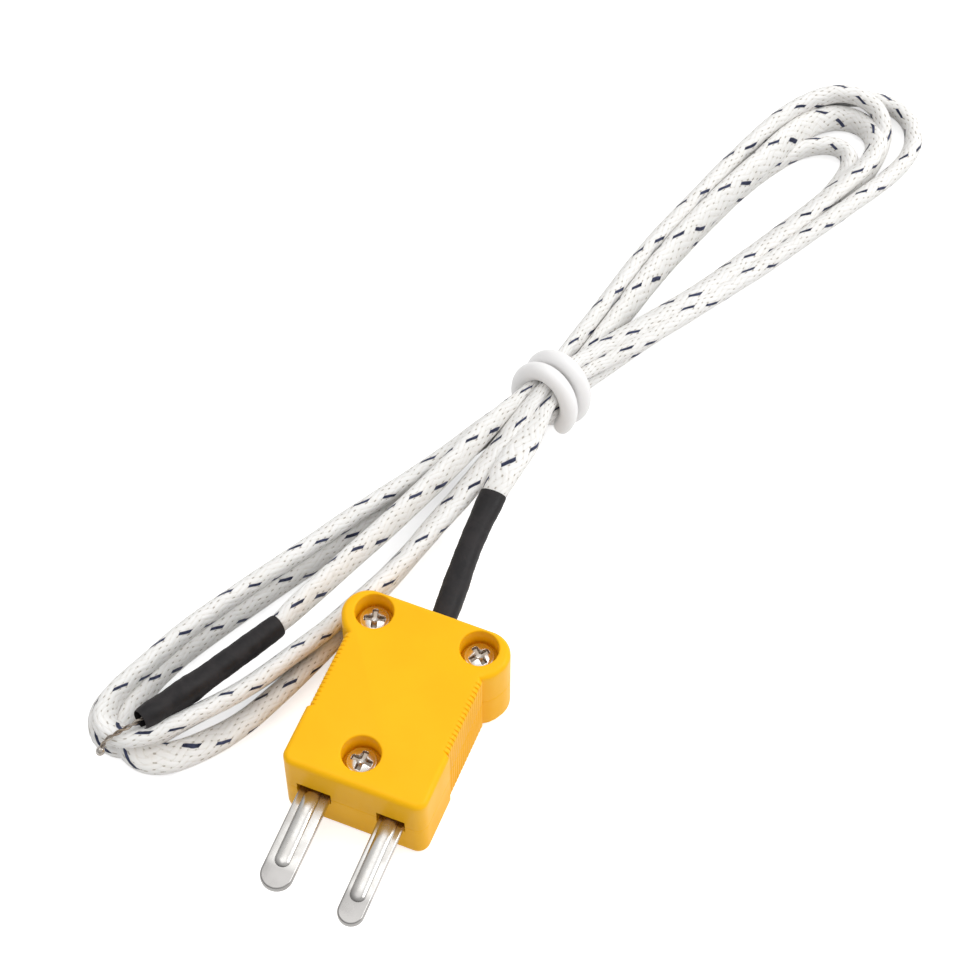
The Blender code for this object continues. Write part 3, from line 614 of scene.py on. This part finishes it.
def makeLead():
    rows = [row + (0,) * (5 - len(row)) for run in leadRuns.values() for row in run]
    dense = evenly(splinePoints(rows), braid["ringStep"])
    for _ in range(6):  # takes the last small kinks out of the route
        dense[1:-1] = dense[1:-1] * 0.5 + (dense[:-2] + dense[2:]) * 0.25
    centre = dense[:, :3]
    squeeze = np.clip(dense[:, 4], 0, 1)
    travelled = np.concatenate([[0], np.cumsum(np.linalg.norm(np.diff(centre, axis=0), axis=1))])
    breathe = 1 + 0.02 * np.sin(travelled * 0.9) * np.sin(travelled * 0.23 + 1.0)
    halfWide = (braid["halfWidth"] * (1 - squeeze) + braid["tiedHalf"] * squeeze) * breathe
    halfThin = (braid["halfThickness"] * (1 - squeeze) + braid["tiedHalf"] * 0.95 * squeeze) / breathe
    sides = braid["sides"]
    rings = ovalRings(dense, halfWide, halfThin, sides, 0.88)
    rings[..., 2] = np.maximum(rings[..., 2], 0.02)
    count = len(rings)
    verts = rings.reshape(-1, 3) * mm
    faces, uvs = [], []
    for r in range(count - 1):
        for k in range(sides):
            after = (k + 1) % sides
            faces.append((r * sides + k, r * sides + after, (r + 1) * sides + after, (r + 1) * sides + k))
            v0, v1 = k / sides, (k + 1) / sides
            uvs += [(travelled[r], v0), (travelled[r], v1), (travelled[r + 1], v1), (travelled[r + 1], v0)]
    for ring, start in ((range(sides - 1, -1, -1), 0), (range(sides), (count - 1) * sides)):
        faces.append(tuple(start + k for k in ring))
        uvs += [(0.0, 0.0)] * sides
    piece = meshPiece("braidedLead", verts, faces, leadSurface())
    layer = piece.data.uv_layers.new(name="along")
    layer.data.foreach_set("uv", np.array(uvs, np.float32).ravel())
    piece.data.shade_smooth()
    return piece, centre * mm, travelled[-1] * mm


braidedLead, leadPath, leadLength = makeLead()
print("braided lead:", round(leadLength, 3), "m")


# the two shrunk sleeves

plugSleeveShape = {
    # x, y, z in mm and the turn of the oval in degrees
    "route": [(0, 12.2, 4.7, 60), (0, 14.0, 4.7, 60), (0, 15.8, 4.7, 60), (-0.13, 19.0, 4.75, 60),
              (-0.72, 24.4, 4.9, 60), (-0.87, 27.8, 5.2, 60), (-0.8, 30.4, 5.6, 60), (-0.75, 32.4, 6.0, 60)],
    # mm along it, then half width and half thickness
    "sizes": [(0, 1.18, 1.18), (3.4, 1.16, 1.16), (5.2, 1.24, 1.24), (8.0, 1.36, 1.3), (10.5, 1.33, 1.25),
              (12.5, 1.26, 1.2), (16.5, 1.3, 1.16), (20.4, 1.5, 1.1)],
    "wall": 0.16,
}
tipSleeveShape = {
    "route": [(-14.75, 10.7, 5.05, 20), (-15.9, 8.3, 5.1, 20), (-17.3, 5.4, 5.2, 20), (-18.7, 2.5, 5.35, 20),
              (-19.7, 0.3, 5.5, 20), (-20.95, -1.9, 5.8, 20), (-22.25, -4.45, 6.2, 20)],
    "sizes": [(0, 1.42, 1.12), (2.0, 1.42, 1.2), (9.8, 1.38, 1.25), (11.2, 1.66, 1.4), (12.4, 1.58, 1.35),
              (13.6, 1.36, 1.25), (16.0, 1.27, 1.2), (17.2, 1.08, 1.05)],
    "wall": 0.14,
}


def sleeveSurface():
    s = Surface("shrunkBlack", (0.018, 0.017, 0.018), 0.5)
    s.shader.inputs["Specular IOR Level"].default_value = 0.24
    folds = s.noise(s.place(), 420.0, 3.0, 0.6, 0.4)
    grain = s.noise(s.place(), 3600.0, 2.0, 0.5)
    # painted shade: the colour follows the fold relief of the bump, darker in the hollows of the folds
    s.colour(s.mix(s.ramp(folds, 0.35, 0.7), (0.012, 0.011, 0.012), (0.026, 0.023, 0.024)))
    s.rough(s.ramp(folds, 0.3, 0.7, 0.42, 0.62))
    s.bump(s.math("ADD", folds, s.math("MULTIPLY", grain, 0.12)), 0.14 * mm, 0.8)
    return s.made


def makeSleeve(name, shape, surface):
    rows = evenly(splinePoints(shape["route"], 12), 0.3)
    gone = np.concatenate([[0], np.cumsum(np.linalg.norm(np.diff(rows[:, :3], axis=0), axis=1))])
    at, wide, thin = np.array(shape["sizes"]).T
    ripple = 1 + 0.012 * np.sin(gone * 2.1) + 0.009 * np.sin(gone * 5.3 + 1.0)
    wide = np.interp(gone, at * gone[-1] / at[-1], wide) * ripple
    thin = np.interp(gone, at * gone[-1] / at[-1], thin) * ripple
    ends = np.minimum(gone, gone[-1] - gone)
    lip = 0.06 * np.exp(-ends / 0.12)  # rounds the cut ends
    outer = ovalRings(rows, wide - lip, thin - lip, 48)
    inner = ovalRings(rows, wide - shape["wall"] + lip * 0.5, thin - shape["wall"] + lip * 0.5, 48)
    rings = np.concatenate([outer, inner[::-1]]) * mm
    return lofted(name, rings, surface, 60, closeRound=True)


blackSleeve = sleeveSurface()
plugSleeve = makeSleeve("plugSleeve", plugSleeveShape, blackSleeve)
tipSleeve = makeSleeve("tipSleeve", tipSleeveShape, blackSleeve)
print("sleeves are made")


# the tie, two turns of coated wire


def tieSurface():
    s = Surface("coatedTie", (0.83, 0.82, 0.82), 0.34)
    clouds = s.noise(s.place(), 260.0, 3.0, 0.5)
    s.colour(s.mix(s.ramp(clouds, 0.3, 0.7), (0.885, 0.875, 0.87), (0.86, 0.85, 0.845)))
    s.rough(s.ramp(clouds, 0.3, 0.7, 0.3, 0.42))
    s.bump(s.noise(s.place(), 1500.0, 2.0, 0.5), 0.02 * mm, 0.5)
    return s.made


def tiePoints():
    centre, ahead, across, rise = tieFrame()
    end = math.radians(tie["endAngle"])
    made = []
    for t in np.linspace(end, 4 * math.pi - end, 150):
        crossed = min(1.0, max(0.0, 0.5 + (t - 2 * math.pi) / (0.5 * math.pi)))
        along = tie["pitch"] * (crossed * crossed * (3 - 2 * crossed) - 0.5)
        angle = t - math.pi / 2
        sideways = across * tie["halfWidth"] * math.cos(angle)
        point = centre + ahead * along + sideways + rise * tie["halfHeight"] * math.sin(angle)
        point[2] = max(point[2], tie["lowest"])
        made.append(point * mm)
    return made


wires = wireRecipe()
tieWire = wires.run(
    pathPiece("tieWire", tiePoints()), wireRadius=tie["wire"] / 2 * mm, sides=28, twistRadius=0.0,
    twistPitch=1.0, startAngle=0.0, surface=tieSurface(),
)
print("tie is made")


# the measuring tip: a twisted pair and its weld

tip = {
    "route": [(-19.7, 0.3, 5.5), (-20.95, -1.9, 5.8), (-22.25, -4.45, 6.2), (-22.95, -5.6, 6.2),
              (-23.5, -6.2, 6.1), (-24.0, -6.95, 6.0), (-24.45, -7.4, 5.8), (-24.65, -7.75, 5.35),
              (-24.78, -8.15, 4.75)],
    "wireRadius": 0.11,
    "twistRadius": 0.125,
    "twistPitch": 2.0,
    "bead": (-24.8, -8.25, 4.65),
    "beadRadius": 0.45,
}


def alloySurface(name, colour, tint, smoothest=0.28, roughest=0.5):
    s = Surface(name, colour, 0.35, 1.0)
    heat = s.noise(s.place(), 900.0, 3.0, 0.6)
    s.colour(s.mix(s.ramp(heat, 0.35, 0.65), colour, tint))
    s.rough(s.ramp(heat, 0.3, 0.7, smoothest, roughest))
    s.bump(s.noise(s.place(), 6000.0, 2.0, 0.5), 0.01 * mm, 0.6)
    return s.made


paleAlloy = alloySurface("paleAlloy", (0.46, 0.42, 0.37), (0.30, 0.24, 0.18))
darkAlloy = alloySurface("darkAlloy", (0.36, 0.32, 0.28), (0.20, 0.15, 0.11))
weldAlloy = alloySurface("weldAlloy", (0.62, 0.60, 0.57), (0.38, 0.34, 0.30), 0.16, 0.3)
tipPath = evenly(splinePoints(tip["route"], 12), 0.12) * mm
tipWires = {}
for name, surface, start in (("tipWireFirst", paleAlloy, 0.0), ("tipWireSecond", darkAlloy, math.pi)):
    tipWires[name] = wires.run(
        pathPiece(name, tipPath), wireRadius=tip["wireRadius"] * mm, sides=12,
        twistRadius=tip["twistRadius"] * mm, twistPitch=tip["twistPitch"] * mm,
        startAngle=start, surface=surface,
    )


def makeBead():
    # a melted drop: rounder below, drawn up a little towards the wires, with a rough skin
    shape = bmesh.new()
    bmesh.ops.create_icosphere(shape, subdivisions=5, radius=1.0)
    pull = unit(np.array(tip["route"][-2]) - np.array(tip["bead"]))
    for vertex in shape.verts:
        way = np.array(vertex.co)
        drawn = max(0.0, float(way @ pull))
        lumps = noise.noise(vertex.co * 2.2) * 0.05 + noise.noise(vertex.co * 7.0) * 0.015
        size = tip["beadRadius"] * (1 + 0.16 * drawn**3 + lumps)
        vertex.co = Vector((np.array(tip["bead"]) + way * size) * mm)
    data = bpy.data.meshes.new("weldBead")
    shape.to_mesh(data)
    shape.free()
    data.materials.append(weldAlloy)
    piece = bpy.data.objects.new("weldBead", data)
    bpy.context.scene.collection.objects.link(piece)
    data.shade_smooth()
    return piece


weldBead = makeBead()
print("measuring tip is made")


# the plug's case

case = {
    "thickness": 9.4, "halfWidth": 7.35, "front": -4.7, "rear": 15.8, "corner": 1.2, "edge": 0.6,
    "gripStart": 1.9, "gripEnd": 10.3, "gripHalf": 7.15, "ribPitch": 0.494, "ribDepth": 0.2,
    "earX": 6.05, "earRadius": 2.6, "partingGap": 0.03, "partingEdge": 0.03,
    "bore": 3.8, "boreRim": 0.2, "boreFloor": 6.9, "screwHole": 2.0, "holeTop": 7.9, "exit": 1.4,
    "ribFade": 0.7, "ribAtEdge": 0.25,
}
room = {  # the hollow inside the case
    "half": 6.2, "start": 1.65, "end": 9.0, "top": 7.85, "tailEnd": 7.0,
    "wireHalf": 5.2, "wireStart": 6.6, "wireLow": 2.6, "legWay": 1.2, "legStart": 8.0, "legEnd": 12.2,
    "slotGap": 0.15, "slotEnd": 2.0, "slotLow": 3.85, "slotTop": 5.6, "well": 1.2, "wellLow": 1.8,
}
pins = {
    "wide": {"x": -4.0, "width": 3.2, "reach": 10.5},
    "narrow": {"x": 3.9, "width": 2.6, "reach": 11.1},
}
pinShape = {
    "sheet": 0.8, "base": 4.15, "edge": 0.2, "lean": math.tan(math.radians(1.5)),
    "ridgeWidth": 1.6, "ridgeHeight": 0.35, "ridgeShort": 2.3, "ridgeEnd": 0.8, "ridgeSunk": 0.15,
    "tailStart": 2.0, "tailEnd": 6.3, "tailWidth": 3.9, "terminalY": 4.1, "terminalHole": 2.0,
}
caseScrews = {"front": (-0.43, -1.24, 88), "left": (-5.5, 13.45, 17), "right": (5.5, 13.45, 52)}


def caseSurface():
    s = Surface("caseYellow", (0.95, 0.485, 0.001), 0.42)
    s.shader.inputs["Specular IOR Level"].default_value = 0.18
    clouds = s.noise(s.place(), 160.0, 3.0, 0.55)
    grain = s.noise(s.place(), 4200.0, 2.0, 0.6)
    s.colour(s.mix(s.ramp(clouds, 0.3, 0.7), (0.96, 0.495, 0.001), (0.94, 0.472, 0.001)))
    s.rough(s.ramp(clouds, 0.3, 0.7, 0.36, 0.47))
    s.bump(grain, 0.012 * mm, 0.6)
    return s.made


def rightOutline():
    # the right half of the case seen from above: x, y and the way outwards
    points = [(2.4, case["front"], 0, -1)]
    cornerX, cornerY = case["halfWidth"] - case["corner"], case["front"] + case["corner"]
    for angle in np.radians(np.linspace(-90, 0, 11)):
        c, s = math.cos(angle), math.sin(angle)
        points.append((cornerX + case["corner"] * c, cornerY + case["corner"] * s, c, s))
    points.append((case["halfWidth"], case["gripStart"] - 0.35, 1, 0))
    ribs = int((case["gripEnd"] - case["gripStart"]) / case["ribPitch"])
    for k in range(ribs):
        for share in (0.0, 0.12, 0.25, 0.38, 0.5, 0.62, 0.75, 0.88):
            crest = math.sin(math.pi * share) ** 0.7
            x = case["gripHalf"] - case["ribDepth"] * (1 - crest)
            points.append((x, case["gripStart"] + (k + share) * case["ribPitch"], 1, 0))
    points.append((case["gripHalf"] - case["ribDepth"], case["gripEnd"] + 0.1, 0.96, -0.29))
    points.append((7.62, 10.88, 0.78, -0.62))
    points.append((8.05, 11.4, 0.78, -0.62))
    earY = case["rear"] - case["earRadius"]
    for angle in np.radians(np.linspace(-28, 90, 30)):
        c, s = math.cos(angle), math.sin(angle)
        points.append((case["earX"] + case["earRadius"] * c, earY + case["earRadius"] * s, c, s))
    points.append((2.4, case["rear"], 0, 1))
    return points


def caseHalf(name, upper, surface):
    right = rightOutline()
    outline = right + [(-x, y, -nx, ny) for x, y, nx, ny in reversed(right)]
    edge, lip = case["edge"], case["partingEdge"]
    parting = case["thickness"] / 2
    levels = [(edge * (1 - math.sin(t)), edge * (1 - math.cos(t))) for t in np.linspace(0, math.pi / 2, 10)]
    levels += [(0, parting - case["partingGap"] / 2 - lip), (lip, parting - case["partingGap"] / 2)]
    levels.insert(-2, (0, edge + case["ribFade"]))
    rings = []
    for inset, rise in levels:
        z = case["thickness"] - rise if upper else rise
        faint = case["ribAtEdge"] if rise <= edge else 1.0  # the ribs run out at the rounded edge
        ring = []
        for x, y, nx, ny in outline:
            dent = case["gripHalf"] - abs(x)
            if 0 < dent <= case["ribDepth"] and case["gripStart"] <= y <= case["gripEnd"] + 0.2:
                x = math.copysign(case["gripHalf"] - dent * faint, x)
            ring.append(((x - nx * inset) * mm, (y - ny * inset) * mm, z * mm))
        rings.append(ring)
    return lofted(name, rings, surface)


def cutterBox(x, y, z):
    ring = [(x[0], y[0]), (x[1], y[0]), (x[1], y[1]), (x[0], y[1])]
    return lofted("cutter", [[(a * mm, b * mm, h * mm) for a, b in ring] for h in z], None)


def cutterRound(at, profile, sides=72):
    # profile: radius and height pairs about a standing axis
    turns = np.linspace(0, 2 * math.pi, sides, endpoint=False)
    rings = []
    for radius, z in profile:
        flat = [(at[0] + radius * math.cos(t), at[1] + radius * math.sin(t)) for t in turns]
        rings.append([(x * mm, y * mm, z * mm) for x, y in flat])
    return lofted("cutter", rings, None)


def cutterTunnel(radius, y, sides=48):
    turns = np.linspace(0, 2 * math.pi, sides, endpoint=False)
    middle = case["thickness"] / 2
    flat = [(radius * math.cos(t) * mm, (middle + radius * math.sin(t)) * mm) for t in turns]
    return lofted("cutter", [[(x, at * mm, z) for x, z in flat] for at in y], None)


def caseCutters(upper):
    made = []
    parting = case["thickness"] / 2
    for pin in pins.values():
        reach = pin["width"] / 2 + room["slotGap"]
        slotX, slotY = (pin["x"] - reach, pin["x"] + reach), (case["front"] - 1, room["slotEnd"])
        made.append(cutterBox(slotX, slotY, (room["slotLow"], room["slotTop"])))
        if not upper:
            at = (pin["x"], pinShape["terminalY"])
            made.append(cutterRound(at, [(room["well"], room["wellLow"]), (room["well"], parting)]))
    across, low, start = (-room["half"], room["half"]), room["slotLow"], room["start"]
    if upper:
        made.append(cutterBox(across, (start, room["end"]), (parting - 1, room["top"])))
    else:
        made.append(cutterBox(across, (start, room["tailEnd"]), (low, parting + 1)))
        wireX, wireY = (-room["wireHalf"], room["wireHalf"]), (room["wireStart"], room["end"])
        made.append(cutterBox(wireX, wireY, (room["wireLow"], parting + 1)))
    made.append(cutterTunnel(room["legWay"], (room["legStart"], room["legEnd"])))
    exitY = (room["legEnd"] - 0.3, case["rear"] - 0.12, case["rear"] + 1)
    made.append(cutterTunnel(case["exit"], exitY))
    half, rim, top, hole = case["bore"] / 2, case["boreRim"], case["thickness"], case["screwHole"] / 2
    quarter = np.linspace(0, math.pi / 2, 6)
    flare = [(half + rim * (1 - math.cos(t)), top - rim + rim * math.sin(t)) for t in quarter]
    for x, y, _ in caseScrews.values():
        if upper:
            made.append(cutterRound((x, y), [(hole, parting - 1), (hole, case["holeTop"])]))
            made.append(cutterRound((x, y), [(half, case["boreFloor"])] + flare + [(half + rim, top + 1)]))
        else:
            made.append(cutterRound((x, y), [(hole, 1.0), (hole, parting + 1)]))
    return made


def makeShell(name, upper, surface):
    piece = cutBy(caseHalf(name, upper, surface), caseCutters(upper))
    turnOutwards(piece)
    piece.data.materials.clear()
    piece.data.materials.append(surface)
    finishShading(piece, 33)
    return piece


yellow = caseSurface()
upperShell = makeShell("upperShell", True, yellow)
lowerShell = makeShell("lowerShell", False, yellow)
print("case is made")


# plated metal: pins and screws


def platedSurface(name, colour, darker, along, recessed=False):
    # drawn lines run along Y on the pins; turned heads have none
    s = Surface(name, colour, 0.25, 1.0)
    spread = s.node("ShaderNodeMapping")
    s.link(s.place(), spread.inputs["Vector"])
    spread.inputs["Scale"].default_value = (1.0, along, 1.0)
    lines = s.noise(spread.outputs[0], 3800.0, 3.0, 0.6)
    clouds = s.noise(s.place(), 420.0, 3.0, 0.6)
    plated = s.mix(s.ramp(clouds, 0.35, 0.75), colour, darker)
    if not recessed:  # painted shade darkens the tips, and a painted reflection of the yellow case warms the metal near it
        split = s.node("ShaderNodeSeparateXYZ")
        s.link(s.place(), split.inputs[0])
        ahead = s.math("MULTIPLY", split.outputs[1], -1 / mm)  # mm towards the pin tips
        # painted shade: darker grey from 12 mm ahead onwards, over the rounded tips
        plated = s.mix(s.ramp(ahead, 12.0, 13.2), plated, (0.36, 0.35, 0.34))
        # painted reflection: brown-yellow where the metal is near the yellow case
        plated = s.mix(s.ramp(ahead, 6.0, 4.7), plated, (0.40, 0.30, 0.21))
    if recessed:  # the cross recess gets a dark brown painted shade
        recessShade = s.node("ShaderNodeAttribute", attribute_name="recess").outputs["Fac"]
        plated = s.mix(recessShade, plated, (0.30, 0.25, 0.205))
    s.colour(plated)
    s.rough(s.ramp(clouds, 0.3, 0.7, 0.16, 0.3))
    s.bump(lines, 0.006 * mm, 0.5)
    return s.made


pinPlate = platedSurface("pinPlate", (0.60, 0.59, 0.57), (0.52, 0.505, 0.485), 0.06)
screwPlate = platedSurface("screwPlate", (0.84, 0.825, 0.80), (0.70, 0.67, 0.63), 1.0, True)


def makePin(name, pin):
    p = pinShape
    half = pin["width"] / 2
    tipY = case["front"] - pin["reach"]
    outer = []
    for angle in np.radians(np.linspace(180, 360, 49)):
        c, s = math.cos(angle), math.sin(angle)
        outer.append((half * c, tipY + half + half * s, c, s))
    bends = len(outer)
    low = p["tailStart"] + 0.3
    tail = p["tailWidth"] / 2
    outer += [(half, p["tailStart"] - 0.05, 1, 0), (half, low, 0.7, -0.7)]
    outer += [(tail, low, 0.7, -0.7), (tail, p["tailEnd"], 0.7, 0.7)]
    outer += [(-x, y, -nx, ny) for x, y, nx, ny in reversed(outer[bends:])]
    arc = np.linspace(0, math.pi / 2, 6)
    levels = [(p["edge"] * (1 - math.sin(t)), p["edge"] * (1 - math.cos(t))) for t in arc]
    levels += [(inset, p["sheet"] - rise) for inset, rise in reversed(levels)]

    def leaned(x, y):
        return pin["x"] + x + (max(0.0, case["front"] - y) * p["lean"])

    rings = []
    for inset, z in levels:
        height = (p["base"] + z) * mm
        flat = [(leaned(x - nx * inset, y), y - ny * inset) for x, y, nx, ny in outer]
        rings.append([(x * mm, y * mm, height) for x, y in flat])
    blade = lofted(name, rings, pinPlate)
    top = p["base"] + p["sheet"]
    end = tipY + p["ridgeShort"]
    rows = []
    along = [p["tailStart"] - 1.0, case["front"], end + p["ridgeEnd"] + 0.1]
    along += [end + p["ridgeEnd"] * (1 - math.sin(t)) for t in np.linspace(0.15, 1.5, 14)]
    for y in along:
        into = min(1.0, (y - end) / p["ridgeEnd"])
        size = math.sqrt(max(0.01, 1 - (1 - into) ** 2))
        across, rise = p["ridgeWidth"] / 2 * size, p["ridgeHeight"] * size
        row = [(leaned(across, y) * mm, y * mm, (top - p["ridgeSunk"]) * mm)]
        for t in np.linspace(0, math.pi, 25):
            row.append((leaned(across * math.cos(t), y) * mm, y * mm, (top + rise * math.sin(t)) * mm))
        row.append((leaned(-across, y) * mm, y * mm, (top - p["ridgeSunk"]) * mm))
        rows.append(row)
    cutBy(blade, [lofted("ridge", rows, None)], "UNION")
    hole = p["terminalHole"] / 2
    cutBy(blade, [cutterRound((pin["x"], p["terminalY"]), [(hole, p["base"] - 1), (hole, top + 1)])])
    turnOutwards(blade)
    blade.data.materials.clear()
    blade.data.materials.append(pinPlate)
    finishShading(blade, 38)
    return blade


pinPieces = {side: makePin("pin" + side.capitalize(), pin) for side, pin in pins.items()}
print("pins are made")


screwShape = {
    "head": 1.5, "top": 8.2, "dome": 0.36, "shoulder": 1.3, "headHeight": 1.1, "shank": 0.8, "end": 1.3,
    "armHalf": 0.28, "armReach": 1.05, "recessDepth": 0.8, "middle": 0.5,
}


def recessAt(x, y):
    # how deep the cross recess is at a place on the head, in mm, and how much painted shade it gets there
    q = screwShape
    barOne = max(abs(x) - q["armHalf"], abs(y) - q["armReach"])
    barTwo = max(abs(y) - q["armHalf"], abs(x) - q["armReach"])
    out = math.hypot(x, y)
    away = min(barOne, barTwo, out - q["middle"])
    inside = min(1.0, max(0.0, (0.03 - away) / 0.12))
    inside = inside * inside * (3 - 2 * inside)
    slope = 1 - 0.6 * min(1.0, out / q["armReach"])
    # painted shade fills the recess; its floor is left lighter as a painted highlight, with a painted dark
    # dot in the middle
    dark = inside * (1 - 0.9 * math.exp(-((out / 0.26) ** 2)) + math.exp(-((out / 0.07) ** 2)))
    return q["recessDepth"] * slope * inside, min(1.0, dark)


def makeScrewMaster():
    q = screwShape
    sides = 112
    turns = np.linspace(0, 2 * math.pi, sides, endpoint=False)
    rings, dark = [], []
    for radius in np.concatenate([[0.02], np.linspace(0.05, q["shoulder"], 44)]):
        ring = []
        for t in turns:
            x, y = radius * math.cos(t), radius * math.sin(t)
            deep, shade = recessAt(x, y)
            ring.append((x, y, -q["dome"] * (radius / q["shoulder"]) ** 2 - deep))
            dark.append(shade)
        rings.append(ring)
    rim = -q["dome"] - 0.01
    head, under = q["head"], -q["headHeight"]
    side = [(q["shoulder"] + 0.06, rim), (head - 0.08, rim - 0.02), (head - 0.02, rim - 0.07)]
    side += [(head, rim - 0.16), (head, under + 0.08), (head - 0.08, under), (q["shank"], under)]
    pointed = q["end"] - q["top"]
    side += [(q["shank"], pointed + 0.5), (q["shank"] * 0.4, pointed)]
    for radius, z in side:
        rings.append([(radius * math.cos(t), radius * math.sin(t), z) for t in turns])
    piece = lofted("screwMaster", np.array(rings) * mm, None, 42)
    # the recess attribute carries the painted shade to the screw material
    recessShade = piece.data.attributes.new("recess", "FLOAT", "POINT")
    dark += [0.0] * (len(piece.data.vertices) - len(dark))
    recessShade.data.foreach_set("value", dark)
    return piece


def screwRecipe():
    r = Recipe("screwsInBores", {"screw": "Object", "surface": "Material"})
    shape = r.node("GeometryNodeObjectInfo", {"Object": r.given["screw"]})["Geometry"]
    turn = r.node("GeometryNodeInputNamedAttribute", {"Name": "turn"}, data_type="FLOAT")[0]
    way = r.node("ShaderNodeCombineXYZ", {"Z": turn})[0]
    feeds = {"Points": r.given["Geometry"], "Instance": shape, "Rotation": way}
    placed = r.node("GeometryNodeInstanceOnPoints", feeds)[0]
    return r.finish(placed)


def makeScrews():
    places = [(x * mm, y * mm, screwShape["top"] * mm) for x, y, _ in caseScrews.values()]
    piece = meshPiece("caseScrews", places, [], None)
    turns = piece.data.attributes.new("turn", "FLOAT", "POINT")
    turns.data.foreach_set("value", [math.radians(turn) for _, _, turn in caseScrews.values()])
    master = makeScrewMaster()
    screwRecipe().run(piece, 42, screw=master, surface=screwPlate)
    bpy.data.objects.remove(master, do_unlink=True)
    return piece


screwPiece = makeScrews()
print("screws are made")


# what the case holds inside keeps its solids and gets its finish here


def fibreSurface(name, colour, darker):
    s = Surface(name, colour, 0.7)
    spread = s.node("ShaderNodeMapping")
    s.link(s.place(), spread.inputs["Vector"])
    spread.inputs["Scale"].default_value = (1.0, 0.25, 1.0)
    fibres = s.noise(spread.outputs[0], 5200.0, 3.0, 0.6)
    s.colour(s.mix(s.ramp(fibres, 0.35, 0.7), colour, darker))
    s.bump(fibres, 0.03 * mm, 0.7)
    return s.made


def dress(surface, *names):
    for name in names:
        nodes[name].data.materials.clear()
        nodes[name].data.materials.append(surface)


# these parts lie near the case, so the painted reflection of the case warms them all over
innerPlate = platedSurface("innerPlate", (0.74, 0.72, 0.68), (0.62, 0.59, 0.54), 1.0)
dress(innerPlate, "terminal_screw_wide", "terminal_screw_narrow")
dress(innerPlate, "terminal_washer_wide", "terminal_washer_narrow")
dress(paleAlloy, "bare_end_wide")
dress(darkAlloy, "bare_end_narrow")
dress(fibreSurface("legYellow", (0.85, 0.60, 0.08), (0.70, 0.45, 0.05)), "insulated_leg_wide")
dress(fibreSurface("legRed", (0.60, 0.06, 0.04), (0.42, 0.03, 0.02)), "insulated_leg_narrow")


stands = [
    (braidedLead, "glass_braid", "plug_lead", "cable_hank", "tip_lead"),
    (plugSleeve, "sleeve_black", "plug_sleeve"),
    (tipSleeve, "sleeve_black", "tip_sleeve"),
    (tieWire, "tie_grey", "tie"),
    (tipWires["tipWireFirst"], "bright_nickel", "tip_wire_first"),
    (tipWires["tipWireSecond"], "thermocouple_alloy", "tip_wire_second"),
    (weldBead, "thermocouple_alloy", "weld_bead"),
    (upperShell, "case_yellow", "upper_shell"),
    (lowerShell, "case_yellow", "lower_shell"),
    (pinPieces["wide"], "bright_nickel", "pin_wide"),
    (pinPieces["narrow"], "bright_nickel", "pin_narrow"),
    (screwPiece, "bright_nickel", "case_screw_front", "case_screw_left", "case_screw_right"),
]
for piece, slotName, *replaced in stands:
    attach(piece, "root")
    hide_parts(*replaced)
